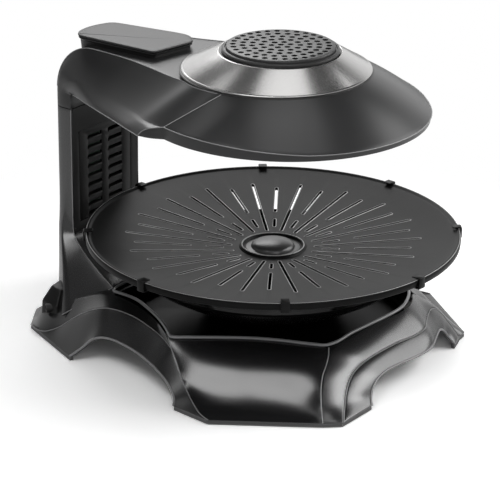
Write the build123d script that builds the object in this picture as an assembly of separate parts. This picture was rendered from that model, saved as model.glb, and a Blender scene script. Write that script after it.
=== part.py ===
from build123d import *
import math
import os

# Smokeless indoor grill: a round grill plate on a four-footed base, under an
# infrared lamp head that a rear column carries. Millimetres, +Z up, front at -Y.
# Every shape is built round the plate's axis and moved once, at the export, so
# that the origin lies on the table under the middle of the whole grill.

# Overall sizes
plate_radius = 172.5          # outer edge of the grill plate
plate_rim_z = 112.0           # top of the plate's rim above the table
head_edge_z = 227.0           # lower edge of the lamp head
arm_top_z = 260.0             # flat top of the arm
column_front_y = 201.0        # vent face of the column, behind the plate's axis
column_depth = 21.0
column_half_width = 49.0      # at the vent face
column_rear_half_width = 41.0
seam_z = 199.0                # where the head unit meets the column
foot_flare_z = 76.0           # the column starts to flare below this
deck_z = 47.0                 # top of the base, level with the bowl opening
wall = 3.0                    # plastic shells
seat_gap = 0.3                # between pieces that lift or swing apart
fit_gap = 0.15                # between pieces that are fixed together

# Base outline: corners on the table and of the deck, left half, front to rear
pad_height = 1.5
pad_width = 13.0
pad_inset = 1.5               # the soles stay this far inside the outline
ground = [(-119, -143), (-178, -62), (-174, -21), (-151, 119), (-118, 196), (-88, 216)]
ground_tip_y = -175.0
deck_front = (-62, -109.5)
deck_bow = (-88, -43)
deck_side = (-132, 13)
deck_peak = (-119, 106)
deck_waist = (-98, 66)
deck_rear = (-83, 123)
lip_land = 3.0                # flat land between the deck's edge and the opening
side_arch = [(119, -1), (112, 11), (105, 19), (97, 24), (86, 27)]
side_arch += [(42, 27), (19, 23), (2, 18), (-12, 11), (-21, -1)]
front_arch_half_width = 78.0
front_arch_height = 21.0
front_arch_radius = 15.0
front_panel_margin = 24.0     # the inset panel beside the front arch
front_panel_rise = 12.0       # and above it
groove = 0.8                  # gap drawn round the inset panel
cover_z = 29.0                # floor cover of the base, above the arches
cover_thickness = 2.0
boss_radius = 4.5
boss_share = 0.06             # a corner boss stands this far out from the deck's corner

# Well, drip bowl and plate
well_gap = 1.5                # between the opening's edge and the well's rim
well_wall = 2.4
trim_height = 2.4
bowl_bottom_radius = 60.0
bowl_neck_height = 20.0
bowl_neck_radius = 84.0
bowl_rim_radius = 128.0
bowl_wall = 1.6
plate_thickness = 3.0
plate_rim_width = 4.0
plate_rim_height = 7.0
plate_rim_step = 2.0          # from the rim's top down to the cooking surface
plate_dish = 17.0             # the plate's middle lies this much below the rim
hub_radius = 31.0
hub_ridge = 2.5
dome_radius = 20.0
dome_height = 6.0
stud_radius = 4.0
slot_count = 18
slot_width = 2.4
long_slot = (38.0, 136.0)
short_slots = [(46.0, 62.0), (76.0, 128.0)]
clip_count = 8
clip_width = 8.0
clip_stand = 2.0              # how far a rim clip stands out of the plate
clip_grip = 4.0               # how far it reaches over and under the rim
clip_sheet = 1.0
clip_first_angle = -95.25     # the clip nearest to the front, a little off the axis

# Head and arm
head_radius = 131.0
head_centre_y = -12.0
skirt_height = 5.0
arm_shoulder_y = 53.0         # the head's sides run straight back to here
cone_top_radius = 92.0
ring_centre_y = -2.0
ring_outer_radius = 85.4
ring_inner_radius = 53.9
ring_bottom_z = 266.9
ring_top_z = 285.7
ring_sheet = 1.6
cap_top_z = 290.0
cap_sheet = 2.0
hole_radius = 1.7
hole_pitch = 7.0
arm_rear_half_width = 36.0
arm_front_half_width = 86.0
arm_under_z = 214.0           # underside of the arm at the column
arm_rear_radius = 36.0
pod_half_width = 28.0
pod_front_y = 116.0
pod_rear_y = 213.0
pod_top_z = 268.0
pod_corner = 12.0
pod_wall = 2.5
panel_thickness = 2.0
panel_groove = 0.8

# Column, foot and vents
foot_front = [(-55, 184, 61), (-66, 158, 56), (-79, 126, 47)]
foot_side = (-112, 162, 21)
foot_rear = (-62, 215, 5)
foot_root_z = 3.0             # the foot is cut off along the base's surface above this
vent_half_width = 38.0
vent_top_z = 174.0
vent_bottom_z = 84.0
vent_rows = 9
vent_pitch = 9.7
vent_top_row_z = 165.0
vent_slot = (5.0, 25.0)       # from the middle line outwards
vent_slot_height = 4.4
rear_cover_half_width = 33.0
rear_cover_top_z = 188.0
panel_sheet = 2.0

# Hinge between head and column
hinge_radius = 5.0
hinge_pin_radius = 2.0
hinge_bore_gap = 0.05
knuckle_half_width = 30.0
knuckle_middle = 18.0
leaf_height = 22.0
leaf_thickness = 1.6

# Fan, lamps and guard in the head
sheet = 1.0
cover_sheet = 2.0             # ring that closes the head round the lamps
cover_radius = 124.0
lamp_opening = 112.3
reflector_flange = 116.0
reflector_foot = 108.0        # the reflector slopes up from here
reflector_crown = 58.0
reflector_rise = 15.5
shield_foot = 111.5
shield_shoulder = (106.0, 10.0)
shield_crown = 60.0
shield_rise = 20.0
lamp_radius = 4.5
lamp_half_length = 72.0
lamp_spacing = 62.0
lamp_lift = 5.2               # lamps' middle above the reflector's flange
holder_length = 12.0
holder_width = 14.0
holder_height = 11.0
holder_grip = 5.0
guard_wire = 1.2
guard_gap = 0.2
guard_rings = [84.0, 56.0, 28.0]
guard_bars = 6
duct_radius = 42.0
duct_wall = 1.5
fan_radius = 38.0
fan_height = 9.0
fan_hub_radius = 13.0
blade_count = 7
blade_pitch = 28.0
shaft_radius = 1.5
bracket_z = 249.0
bracket_sheet = 1.5
bracket_arm = 7.0
motor_radius = 16.0
motor_height = 11.0
filter_radius = 53.2
filter_height = 4.0
cutout_radius = 6.0
cutout_height = 4.5
head_posts = [(-85.6, -97.6), (-116.0, 22.0)]
post_radius = 4.0

# Working values from the sizes above
clip_radius = plate_radius + clip_stand
clip_half_angle = math.degrees(math.asin(clip_width / 2 / clip_radius))
clip_off_axis = abs(clip_first_angle + 90) - clip_half_angle
front_reach = clip_radius * math.cos(math.radians(clip_off_axis))
hinge_y = column_front_y + column_depth
rear_reach = hinge_y + hinge_radius
axis_y = (front_reach - rear_reach) / 2
well_z = cover_z + cover_thickness
bowl_z = well_z + well_wall + seat_gap
hub_z = plate_rim_z - plate_dish
head_bottom = head_edge_z + 1.0
flange_z = head_bottom + cover_sheet
lamp_z = flange_z + lamp_lift

nodes = {}


def keep(name, shape):
    """Hold a finished piece, moved from the plate's axis to the grill's frame."""
    nodes[name] = Pos(0, axis_y, 0) * shape


def mirrored(points):
    return [(-p[0],) + tuple(p[1:]) for p in reversed(points)]


def flat_face(points):
    return Face(Wire.make_polygon([Vector(*p) for p in points], close=True))


def prism(points, low, high):
    """An upright prism on a plan outline."""
    base = flat_face([(x, y, low) for x, y in points])
    return extrude(base, amount=high - low, dir=(0, 0, 1))


def side_prism(points, half_width):
    """A prism across the grill on an outline of (y, z) points."""
    base = flat_face([(-half_width, y, z) for y, z in points])
    return extrude(base, amount=2 * half_width, dir=(1, 0, 0))


def block(x0, x1, y0, y1, z0, z1):
    return Pos((x0 + x1) / 2, (y0 + y1) / 2, (z0 + z1) / 2) * Box(x1 - x0, y1 - y0, z1 - z0)


def disc(radius, low, high, x=0.0, y=0.0):
    return Pos(x, y, (low + high) / 2) * Cylinder(radius, high - low)


def ring(outer, inner, low, high, y=0.0):
    return disc(outer, low, high, y=y) - disc(inner, low - 1, high + 1, y=y)


def rod(radius, start, end):
    """A round bar between two points."""
    a, b = Vector(*start), Vector(*end)
    return extrude(Plane(origin=a, z_dir=b - a) * Circle(radius), amount=(b - a).length)


def turned(profile, y=0.0):
    """A solid of revolution from an outline of (radius, z) points."""
    return Pos(0, y, 0) * revolve(flat_face([(r, 0, z) for r, z in profile]), Axis.Z, 360)


def inset(points, distance):
    """A plan outline moved inwards by a distance, corner by corner."""
    following = points[1:] + points[:1]
    area = sum(a[0] * b[1] - b[0] * a[1] for a, b in zip(points, following))
    turn = 1 if area > 0 else -1
    moved = []
    for before, here, after in zip(points[-1:] + points[:-1], points, following):
        ax, ay = here[0] - before[0], here[1] - before[1]
        bx, by = after[0] - here[0], after[1] - here[1]
        al, bl = math.hypot(ax, ay), math.hypot(bx, by)
        nx, ny = -ay / al * turn, ax / al * turn
        mx, my = -by / bl * turn, bx / bl * turn
        share = distance / (1 + nx * mx + ny * my)
        moved.append((here[0] + (nx + mx) * share, here[1] + (ny + my) * share))
    return moved


def polyhedron(left_faces, whole_faces):
    """A closed solid from the faces of its left half and the faces across both halves."""
    faces = [flat_face(f) for f in left_faces + whole_faces]
    faces += [flat_face(mirrored(f)) for f in left_faces]
    return Solid(Shell(faces))


# Base: a low skirt with four feet, sloping in from the table to a flat deck.
ground_outline = [(0, ground_tip_y)] + ground + mirrored(ground)
deck_half = [deck_front, deck_bow, deck_side, deck_peak, deck_rear]
deck_outline = deck_half + mirrored(deck_half)
opening_half = [deck_front, deck_bow, deck_side, deck_waist, deck_rear]
opening = inset(opening_half + mirrored(opening_half), lip_land)


def base_body(inward, low, high):
    """The base's outer form, or with inward above 0 the space inside its walls."""
    on_table = inset(ground_outline, inward)
    on_deck = inset(deck_outline, inward)
    tip = (0, on_table[0][1], low)
    p = [(x, y, low) for x, y in on_table[1:len(ground) + 1]]
    front, bow, side, peak, rear = [(x, y, high) for x, y in on_deck[:5]]
    left = [
        [front, tip, p[0]], [front, p[0], bow], [bow, p[0], p[1]], [bow, p[1], side],
        [side, p[1], p[2]], [side, p[2], p[3]], [side, p[3], peak], [peak, p[3], p[4]],
        [peak, p[4], rear], [rear, p[4], p[5]],
    ]
    deck = [front, bow, side, peak, rear]
    whole = [
        mirrored([front]) + [front, tip],
        [rear, p[5]] + mirrored([rear, p[5]]),
        deck + mirrored(deck),
        [tip] + p + mirrored(p),
    ]
    return polyhedron(left, whole)


def arch_face(half_width, height, radius):
    """An upright outline with rounded top corners, in the X and Z directions."""
    tall = height + radius
    outline = Rectangle(2 * half_width, 2 * tall)
    outline = fillet(outline.vertices(), radius)
    return Plane.XZ * Pos(0, height - tall) * outline


def front_prism(half_width, height, radius):
    """The arch outline, run through the front wall only."""
    band = extrude(arch_face(half_width, height, radius), amount=200)
    return band & block(-200, 200, -200, -60, -1, deck_z)


def column_outline(inward):
    half = [(-column_half_width, column_front_y), (-column_rear_half_width, hinge_y)]
    return inset(half + mirrored(half), inward)


def foot_body(inward):
    """The column's flared foot, down into the base, or the space inside it."""
    side, back = inward * 1.3, inward
    f0 = (-column_half_width + side, column_front_y + back, foot_flare_z)
    f = [(x + side, y + back, z - back) for x, y, z in foot_front]
    s = (foot_side[0] + 2 * side, foot_side[1], foot_side[2])
    r0 = (-column_rear_half_width + side, hinge_y - back, foot_flare_z)
    r = (foot_rear[0] + side, foot_rear[1] - back, foot_rear[2])
    fb, sb, rb = [(x, y, foot_root_z) for x, y, z in (f[2], s, r)]
    left = [
        [r0, f0, s], [f0, f[0], s], [f[0], f[1], s], [f[1], f[2], s],
        [f[2], fb, sb, s], [s, sb, rb, r], [r0, s, r],
    ]
    whole = [[a, b] + mirrored([a, b]) for a, b in [(f0, f[0]), (f[0], f[1]), (f[1], f[2]), (f[2], fb)]]
    whole += [[r0, r] + mirrored([r0, r]), [r, rb] + mirrored([r, rb])]
    whole += [[f0, r0] + mirrored([f0, r0]), [fb, sb, rb] + mirrored([fb, sb, rb])]
    return polyhedron(left, whole)


base_outer = base_body(0, pad_height, deck_z)
base_space = base_body(1.3 * wall, pad_height - 0.5, deck_z - wall)
panel_half = front_arch_half_width + front_panel_margin
panel_top = front_arch_height + front_panel_rise
panel_radius = front_arch_radius + 10
panel_prism = front_prism(panel_half, panel_top, panel_radius)
panel_hole = front_prism(panel_half + groove, panel_top + groove, panel_radius)
arch_front = front_prism(front_arch_half_width, front_arch_height, front_arch_radius)
arches = side_prism(side_arch, 200) + arch_front
base_wall = base_outer - base_space
shell_cuts = arches + prism(opening, cover_z, deck_z + 1)
boss_places = [
    tuple(d * (1 - boss_share) + g * boss_share for d, g in zip(deck_front, ground[0])),
    tuple(d * (1 - boss_share) + g * boss_share for d, g in zip(deck_side, ground[2])),
    tuple((a + b + c) / 3 for a, b, c in zip(deck_peak, deck_rear, deck_waist)),
]
boss_places += mirrored(boss_places)
bosses = [disc(boss_radius, well_z, deck_z, x, y) & base_outer for x, y in boss_places]
screw_bores = [disc(1.4, well_z - 1, well_z + 6, x, y) for x, y in boss_places]
base_shell = base_wall - shell_cuts - panel_hole
for boss in bosses:
    base_shell = base_shell + boss
for bore in screw_bores:
    base_shell = base_shell - bore
keep("base_shell", base_shell)
keep("front_arch_panel", (base_wall & panel_prism) - arch_front)

cover_space = base_body(1.3 * wall + fit_gap, pad_height - 0.5, deck_z - wall)
floor_cover = cover_space & block(-200, 200, -200, 220, cover_z, well_z)
screw_stack = [disc(1.4 + fit_gap, cover_z - 1, well_z + 1, x, y) for x, y in boss_places]
for hole in screw_stack:
    floor_cover = floor_cover - hole
keep("base_floor_cover", floor_cover)
keep("base_screws", Compound([
    disc(3.2, cover_z - 1.6, cover_z, x, y) + disc(1.4, cover_z - 0.5, well_z + 5.5, x, y)
    for x, y in boss_places
]))

# Rubber soles under the four feet, in line with the wall above them.
sole_inside = inset(ground_outline, pad_inset + pad_width)
sole = prism(inset(ground_outline, pad_inset), 0, pad_height) - prism(sole_inside, -1, 2)
sole = sole - block(-200, 200, side_arch[-1][0] - 4, side_arch[0][0] + 4, -1, 2)
sole = sole - block(-front_arch_half_width - 4, front_arch_half_width + 4, -200, 0, -1, 2)
sole = sole - block(ground[-1][0] + 4, -ground[-1][0] - 4, 100, 230, -1, 2)
keep("foot_pads", Compound(sole.solids()))

# Well: the black tub that lines the opening, with a bright trim on its rim.
well_outline = inset(opening, well_gap)
well_inside = inset(well_outline, well_wall)
well = prism(well_outline, well_z, deck_z) - prism(well_inside, well_z + well_wall, deck_z + 1)
keep("bowl_well", well)
trim = prism(well_outline, deck_z, deck_z + trim_height)
trim = trim - prism(well_inside, deck_z - 1, deck_z + trim_height + 1)
keep("lip_trim", trim)

# Drip bowl: a round pan that stands in the well and carries the plate.
def plate_top(radius):
    """Height of the plate's cooking surface at a radius."""
    edge = plate_radius - plate_rim_width
    share = (radius - hub_radius) / (edge - hub_radius)
    return hub_z + share * (plate_dish - plate_rim_step)


bowl_rim_z = plate_top(bowl_rim_radius - 2 * bowl_wall) - plate_thickness - seat_gap
neck_z = bowl_z + bowl_neck_height
bowl_outside = [(0, bowl_z), (bowl_bottom_radius, bowl_z)]
bowl_outside += [(bowl_neck_radius, neck_z), (bowl_rim_radius, bowl_rim_z)]
bowl_inside = [
    (bowl_rim_radius - 2 * bowl_wall, bowl_rim_z), (bowl_neck_radius - bowl_wall, neck_z + bowl_wall),
    (bowl_bottom_radius - bowl_wall, bowl_z + bowl_wall), (0, bowl_z + bowl_wall),
]
keep("drip_bowl", turned(bowl_outside + bowl_inside))

# Grill plate: a shallow dish with a turned-down rim, radial drip slots and a hub.
inner_edge = plate_radius - plate_rim_width
ridge = [(hub_radius, hub_z), (hub_radius - 1, hub_z + hub_ridge), (hub_radius - 3, hub_z + hub_ridge)]
plate_outline = [(stud_radius + fit_gap, hub_z - plate_thickness), (hub_radius, hub_z - plate_thickness)]
rim_low = plate_rim_z - plate_rim_height
plate_outline += [(inner_edge, plate_top(inner_edge) - plate_thickness), (inner_edge, rim_low)]
plate_outline += [(plate_radius, rim_low), (plate_radius, plate_rim_z), (inner_edge, plate_rim_z)]
plate_outline += [(inner_edge - 1, plate_top(inner_edge))] + ridge
plate_outline += [(hub_radius - 4, hub_z), (stud_radius + fit_gap, hub_z)]
slots = []
for n in range(2 * slot_count):
    turn = Rot(0, 0, 90 + n * 180 / slot_count)
    for start, end in [long_slot] if n % 2 == 0 else short_slots:
        slots.append(turn * block(start, end, -slot_width / 2, slot_width / 2, hub_z - 5, plate_rim_z))
keep("grill_plate", turned(plate_outline) - Compound(slots))

cap_outline = [(0, hub_z), (dome_radius, hub_z), (dome_radius - 1.5, hub_z + 0.5 * dome_height)]
cap_outline += [(dome_radius - 6, hub_z + 0.85 * dome_height), (0, hub_z + dome_height)]
stud = disc(stud_radius, hub_z - plate_thickness - 7, hub_z)
keep("plate_centre_cap", turned(cap_outline) + stud)
nut = extrude(Plane.XY.offset(hub_z - plate_thickness - 4) * RegularPolygon(8, 6), amount=4)
keep("plate_cap_nut", nut - disc(stud_radius + fit_gap / 3, hub_z - 12, hub_z))

# Rim clips: eight pressed clips that grip the plate's rim.
reach_in = plate_radius - clip_grip
touch = plate_radius + fit_gap / 3
clip_outline = [
    (reach_in, plate_rim_z + clip_sheet + fit_gap), (clip_radius, plate_rim_z + clip_sheet + fit_gap),
    (clip_radius, rim_low - clip_sheet - fit_gap), (reach_in + 1, rim_low - clip_sheet - fit_gap),
    (reach_in + 1, rim_low - fit_gap / 3), (touch, rim_low - fit_gap / 3),
    (touch, plate_rim_z + fit_gap / 3), (reach_in, plate_rim_z + fit_gap / 3),
]
clip_band = turned(clip_outline)
clips = []
half_clip = clip_width / 2
clip_slice = block(reach_in - 5, clip_radius + 5, -half_clip, half_clip, rim_low - 5, plate_rim_z + 5)
for n in range(clip_count):
    clips.append(clip_band & (Rot(0, 0, clip_first_angle + n * 360 / clip_count) * clip_slice))
keep("rim_clips", Compound([s for c in clips for s in c.solids()]))

# Column: a flat upright box that flares into a wide foot on the deck.
column_top = seam_z - seat_gap
notch_half = knuckle_half_width + 1
notch = rod(hinge_radius + seat_gap, (-notch_half, hinge_y, seam_z), (notch_half, hinge_y, seam_z))
column_form = prism(column_outline(0), foot_flare_z, column_top) + foot_body(0)
column_space = prism(column_outline(wall), foot_flare_z - 0.5, column_top - wall) + foot_body(wall)
way_front = column_front_y + wall + 2
way_rear = hinge_y - hinge_radius - 2
wire_way = block(-15, 15, way_front, way_rear, column_top - 5, column_top + 1)
vent_low, vent_high = column_front_y - 1, column_front_y + wall + 1
vent_window = block(-vent_half_width, vent_half_width, vent_low, vent_high, vent_bottom_z, vent_top_z)
cover_half = rear_cover_half_width
rear_low, rear_top = hinge_y - wall - 1, hinge_y + 1
rear_window = block(-cover_half, cover_half, rear_low, rear_top, vent_bottom_z, rear_cover_top_z)
column = (column_form - column_space) - base_outer - vent_window - rear_window - notch - wire_way
keep("column_shell", column)

panel_low, panel_high = vent_bottom_z + fit_gap, vent_top_z - fit_gap
vent_half = vent_half_width - fit_gap
vent_y = column_front_y + 0.6
vent_panel = block(-vent_half, vent_half, vent_y, vent_y + panel_sheet, panel_low, panel_high)
slot_boxes = []
for row in range(vent_rows):
    low = vent_top_row_z - row * vent_pitch
    for side in (-1, 1):
        near, far = sorted((side * vent_slot[0], side * vent_slot[1]))
        slot_boxes.append(block(near, far, vent_low, vent_y + 5, low - vent_slot_height, low))
keep("vent_panel", vent_panel - Compound(slot_boxes))
rear_half = rear_cover_half_width - fit_gap
rear_inside = hinge_y - panel_sheet
rear_high = rear_cover_top_z - fit_gap
keep("column_rear_cover", block(-rear_half, rear_half, rear_inside, hinge_y, panel_low, rear_high))

# Control board and mains terminal inside the column, on the rear cover.
board_y = rear_inside - 4.0
standoffs = [(x, z) for x in (-24, 24) for z in (96, 158)]
keep("control_board", block(-30, 30, board_y - 1.6, board_y, 90, 164))
keep("board_standoffs", Compound([rod(2.5, (x, board_y, z), (x, rear_inside, z)) for x, z in standoffs]))
keep("mains_terminal", block(-18, 18, board_y - 9, board_y - 1.6, 96, 112))

# Gland for the mains lead: a faceted boss on the foot's left rear corner.
gland_low = [(-122, 168), (-97, 201), (-74, 196), (-88, 160)]
gland_mid_z, gland_tip_z = 28.0, 42.0
gland_body = prism(gland_low, foot_root_z, gland_mid_z)
gland_body = gland_body + loft([
    flat_face([(x, y, gland_mid_z) for x, y in gland_low]),
    flat_face([(x, y, gland_tip_z) for x, y in inset(gland_low, 7.0)]),
], ruled=True)
gland_body = gland_body - base_outer - foot_body(0)
bore_at = ((gland_low[0][0] + gland_low[1][0]) / 2, (gland_low[0][1] + gland_low[1][1]) / 2)
out = Vector(-33, 25, 0).normalized()
bore_z = 21.0
near = Vector(bore_at[0], bore_at[1], bore_z)
bore = rod(4.5, near - out * 12, near + out * 5)
keep("cord_gland_housing", gland_body - bore)
gland = rod(4.4, near - out * 11.5, near - out * 0.5)
keep("cord_gland", gland - rod(3.0, near - out * 13, near + out * 5))

# Hinge: a leaf on the column and one on the head, round a steel pin.
leaf_y = hinge_y + leaf_thickness
axle = rod(hinge_pin_radius + hinge_bore_gap, (-40, hinge_y, seam_z), (40, hinge_y, seam_z))
pin_ends = [(x, hinge_y, seam_z) for x in (-knuckle_half_width, knuckle_half_width)]


def knuckle(x0, x1, up):
    """One hinge knuckle with the web that joins it to its leaf."""
    barrel = rod(hinge_radius, (x0, hinge_y, seam_z), (x1, hinge_y, seam_z))
    far = seam_z + up * (hinge_radius + leaf_height)
    web = block(x0, x1, hinge_y, leaf_y, min(seam_z, far), max(seam_z, far))
    return barrel + web


leaf_low = seam_z - hinge_radius - leaf_height
leaf_high = seam_z + hinge_radius + leaf_height
leaf_half = knuckle_half_width
column_leaf = block(-leaf_half, leaf_half, hinge_y, leaf_y, leaf_low, seam_z - hinge_radius - 2)
column_leaf = column_leaf + knuckle(-leaf_half, -knuckle_middle - seat_gap, -1)
column_leaf = column_leaf + knuckle(knuckle_middle + seat_gap, leaf_half, -1)
keep("column_hinge_leaf", column_leaf - axle)
head_leaf = block(-leaf_half, leaf_half, hinge_y, leaf_y, seam_z + hinge_radius + 2, leaf_high)
head_leaf = head_leaf + knuckle(-knuckle_middle, knuckle_middle, 1)
keep("head_hinge_leaf", head_leaf - axle)
keep("hinge_pin", rod(hinge_pin_radius, *pin_ends))

# Head shell: one moulding for the arm, the round head and its cone.
def head_plan(inward, radius, centre_y, shoulder, column_half, rear_half):
    """Plan outline of the head and arm: an arc at the front and straight sides behind.

    The shoulder is the (x, y) point where the sides start to close in.
    """
    r = radius - inward
    half = [(-shoulder[0] + inward, shoulder[1]), (-column_half + inward, column_front_y)]
    half.append((-rear_half + inward, hinge_y - inward))
    line = [(-r, centre_y)] + half + mirrored(half) + [(r, centre_y)]
    edges = [Edge.make_line((*a, 0), (*b, 0)) for a, b in zip(line, line[1:])]
    edges.append(Edge.make_three_point_arc((r, centre_y, 0), (0, centre_y - r, 0), (-r, centre_y, 0)))
    return Face(Wire(edges))


def arm_side(inward, open_under):
    """Side outline of the head and arm, in Y and Z."""
    radius = arm_rear_radius - inward
    rear, top = hinge_y - inward, arm_top_z - inward
    under = -1.0 if open_under else 0.0
    points = [(-160, head_edge_z + under), (arm_shoulder_y - inward, head_edge_z + under)]
    if open_under:
        points.append((arm_shoulder_y - inward, head_edge_z + inward))
    points.append((column_front_y, arm_under_z + inward))
    points += [(column_front_y + inward, arm_under_z + inward), (column_front_y + inward, seam_z + under)]
    points.append((rear, seam_z + under))
    for n in range(7):
        a = math.radians(90 * n / 6)
        points.append((rear - radius + radius * math.cos(a), top - radius + radius * math.sin(a)))
    points.append((-160, top))
    return side_prism(points, 160)


def head_form(inward, open_under):
    wide = (head_radius, arm_shoulder_y)
    narrow = (arm_front_half_width, 20)
    low = head_plan(inward, head_radius, head_centre_y, wide, column_half_width, column_rear_half_width)
    rear = arm_rear_half_width
    high = head_plan(inward, cone_top_radius, ring_centre_y, narrow, rear, rear - 4)
    skirt_z = head_edge_z + skirt_height
    body = extrude(Pos(0, 0, seam_z - 5) * low, amount=skirt_z - seam_z + 5, dir=(0, 0, 1))
    body = body + loft([Pos(0, 0, skirt_z) * low, Pos(0, 0, arm_top_z) * high], ruled=True)
    return body & arm_side(inward, open_under)


cone = turned([
    (0, arm_top_z - 1), (cone_top_radius, arm_top_z - 1), (cone_top_radius, arm_top_z),
    (ring_outer_radius + 1, ring_bottom_z), (0, ring_bottom_z),
], ring_centre_y)
head_outer = head_form(0, False)
head_space = head_form(wall, True)
shaft_way = disc(ring_outer_radius - 4, arm_top_z - wall - 2, ring_bottom_z + 1, y=ring_centre_y)
panel_way = block(-12, 12, 150, 175, arm_top_z - wall - 1, arm_top_z + 1)
head_shell = (head_outer + cone) - head_space - shaft_way - notch - panel_way
head_shell = head_shell - block(-15, 15, way_front, way_rear, seam_z - 1, seam_z + 5)
head_shell = head_shell - disc(lamp_opening + 1, arm_under_z - 5, flange_z + 3, y=head_centre_y)
post_places = head_posts + mirrored(head_posts)
posts = [disc(post_radius, flange_z, arm_top_z, x, y) & head_outer for x, y in post_places]
for post in posts:
    head_shell = head_shell + post
for x, y in post_places:
    head_shell = head_shell - disc(1.3, flange_z - 1, flange_z + 6, x, y)
keep("head_shell", head_shell)

# Control housing on the arm, with a bare touch panel let into its top.
def pod_outline(inward):
    """The housing's plan: square in front, rounded off towards the rear."""
    half = [(-pod_half_width + 6, pod_front_y), (-pod_half_width, pod_front_y + 8)]
    half += [(-pod_half_width, pod_rear_y - pod_corner), (-pod_half_width + pod_corner, pod_rear_y)]
    return inset(half + mirrored(half), inward)


pod_body_top = pod_top_z - panel_thickness - panel_groove
pod = prism(pod_outline(0), arm_top_z - 28, pod_body_top) - head_outer
pod = pod - prism(pod_outline(pod_wall), arm_top_z + 1.5, pod_body_top + 1) - panel_way
keep("control_housing", pod)
plug = prism(pod_outline(pod_wall + fit_gap), pod_body_top - 1.5, pod_top_z - panel_thickness)
keep("control_panel", prism(pod_outline(0), pod_top_z - panel_thickness, pod_top_z) + plug)
keep("panel_board", block(-20, 20, pod_front_y + 14, 190, arm_top_z + 1.5, arm_top_z + 3.1))

# Steel ring and perforated cap on top of the head.
ring_rise = ring_top_z - ring_bottom_z
ring_out, ring_in = [], []
for n in range(9):
    a = n / 8
    r = ring_outer_radius + (ring_inner_radius - ring_outer_radius) * a
    z = ring_bottom_z + 3 + (ring_rise - 3) * math.sin(math.radians(90 * a))
    ring_out.append((r, z))
    ring_in.append((r - (0 if n == 8 else ring_sheet * (1 - a)), z - ring_sheet))
ring_feet = [(ring_outer_radius, ring_bottom_z), (ring_outer_radius - ring_sheet, ring_bottom_z)]
keep("steel_ring", turned(ring_feet[:1] + ring_out + ring_in[::-1] + ring_feet[1:], ring_centre_y))

cap_base = ring_top_z
cap_profile = [
    (ring_inner_radius - 2, cap_base - 6), (ring_inner_radius - fit_gap, cap_base - 6),
    (ring_inner_radius - fit_gap, cap_base),
    (ring_inner_radius - 1, cap_top_z - 1), (ring_inner_radius - 3, cap_top_z), (0, cap_top_z),
    (0, cap_top_z - cap_sheet), (ring_inner_radius - 3.5, cap_top_z - cap_sheet),
]
holes = []
rows = int(2 * ring_inner_radius / hole_pitch / 0.866 / 2)
for row in range(-rows, rows + 1):
    for column_n in range(-rows, rows + 1):
        x = (column_n + 0.5 * (row % 2)) * hole_pitch
        y = row * hole_pitch * 0.866
        if math.hypot(x, y) < ring_inner_radius - 7:
            holes.append(disc(hole_radius, cap_top_z - 5, cap_top_z + 1, x, y + ring_centre_y))
keep("vent_cap", turned(cap_profile, ring_centre_y) - Compound(holes))

# Under the head: a closing ring, the reflector, the heat shield and the lamps.
under_cover = ring(cover_radius, lamp_opening, head_bottom, flange_z, y=head_centre_y) - head_shell
for x, y in post_places:
    under_cover = under_cover - disc(1.3 + fit_gap, head_bottom - 1, flange_z + 1, x, y)
keep("head_under_cover", max(under_cover.solids(), key=lambda s: s.volume))
keep("head_screws", Compound([
    disc(3.0, head_bottom - 0.8, head_bottom, x, y) + disc(1.3, head_bottom - 0.4, flange_z + 5.5, x, y)
    for x, y in post_places
]))

lamp_rows = [head_centre_y - lamp_spacing / 2, head_centre_y + lamp_spacing / 2]
inner_end = lamp_half_length - holder_grip
seats, holders = [], []
for y in lamp_rows:
    for side in (-1, 1):
        x0, x1 = sorted((side * inner_end, side * (inner_end + holder_length)))
        y0, y1 = y - holder_width / 2, y + holder_width / 2
        seat = block(x0, x1, y0, y1, lamp_z - holder_height / 2, lamp_z + holder_height / 2)
        ends = [(side * (inner_end - 1), y, lamp_z), (side * lamp_half_length, y, lamp_z)]
        seats.append(seat)
        holders.append(seat - rod(lamp_radius + fit_gap / 3, *ends))
lamp_ends = [[(x, y, lamp_z) for x in (-lamp_half_length, lamp_half_length)] for y in lamp_rows]
crown_z = flange_z + reflector_rise
reflector = turned([
    (0, crown_z), (reflector_crown, crown_z), (reflector_foot, flange_z), (reflector_flange, flange_z),
    (reflector_flange, flange_z + sheet), (reflector_foot + 0.3, flange_z + sheet),
    (reflector_crown + 0.3, crown_z + sheet), (0, crown_z + sheet),
], head_centre_y)
reflector = reflector - disc(duct_radius - duct_wall, crown_z - 1, crown_z + 2, y=ring_centre_y)
for seat in seats:
    reflector = reflector - seat
keep("lamp_reflector", reflector)
keep("lamp_holders", Compound(holders))
keep("infrared_lamps", Compound([rod(lamp_radius, *ends) for ends in lamp_ends]))
shield_z = flange_z + sheet
shoulder_r, shoulder_rise = shield_shoulder
shield_top = shield_z + shield_rise
shield = turned([
    (0, shield_top), (shield_crown, shield_top), (shoulder_r, shield_z + shoulder_rise),
    (shield_foot, shield_z), (reflector_flange + 0.5, shield_z),
    (reflector_flange + 0.5, shield_z + sheet), (shield_foot + 0.6, shield_z + sheet),
    (shoulder_r + 0.6, shield_z + shoulder_rise + sheet), (shield_crown + 0.2, shield_top + sheet),
    (0, shield_top + sheet),
], head_centre_y)
keep("heat_shield", shield - disc(duct_radius + fit_gap, shield_top - 1, shield_top + 2, y=ring_centre_y))
cutout_z = shield_top + sheet
keep("thermal_cutout", disc(cutout_radius, cutout_z, cutout_z + cutout_height, x=50, y=ring_centre_y))
guard_outer = lamp_opening - guard_gap
guard_top = head_bottom + guard_wire
guard = ring(guard_outer, guard_outer - guard_wire, head_bottom, guard_top, y=head_centre_y)
bar_start, bar_end = guard_rings[-1] - guard_wire, guard_outer - 0.2
half_bar = guard_wire / 2
for radius in guard_rings:
    guard = guard + ring(radius, radius - guard_wire, head_bottom, guard_top, y=head_centre_y)
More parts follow.
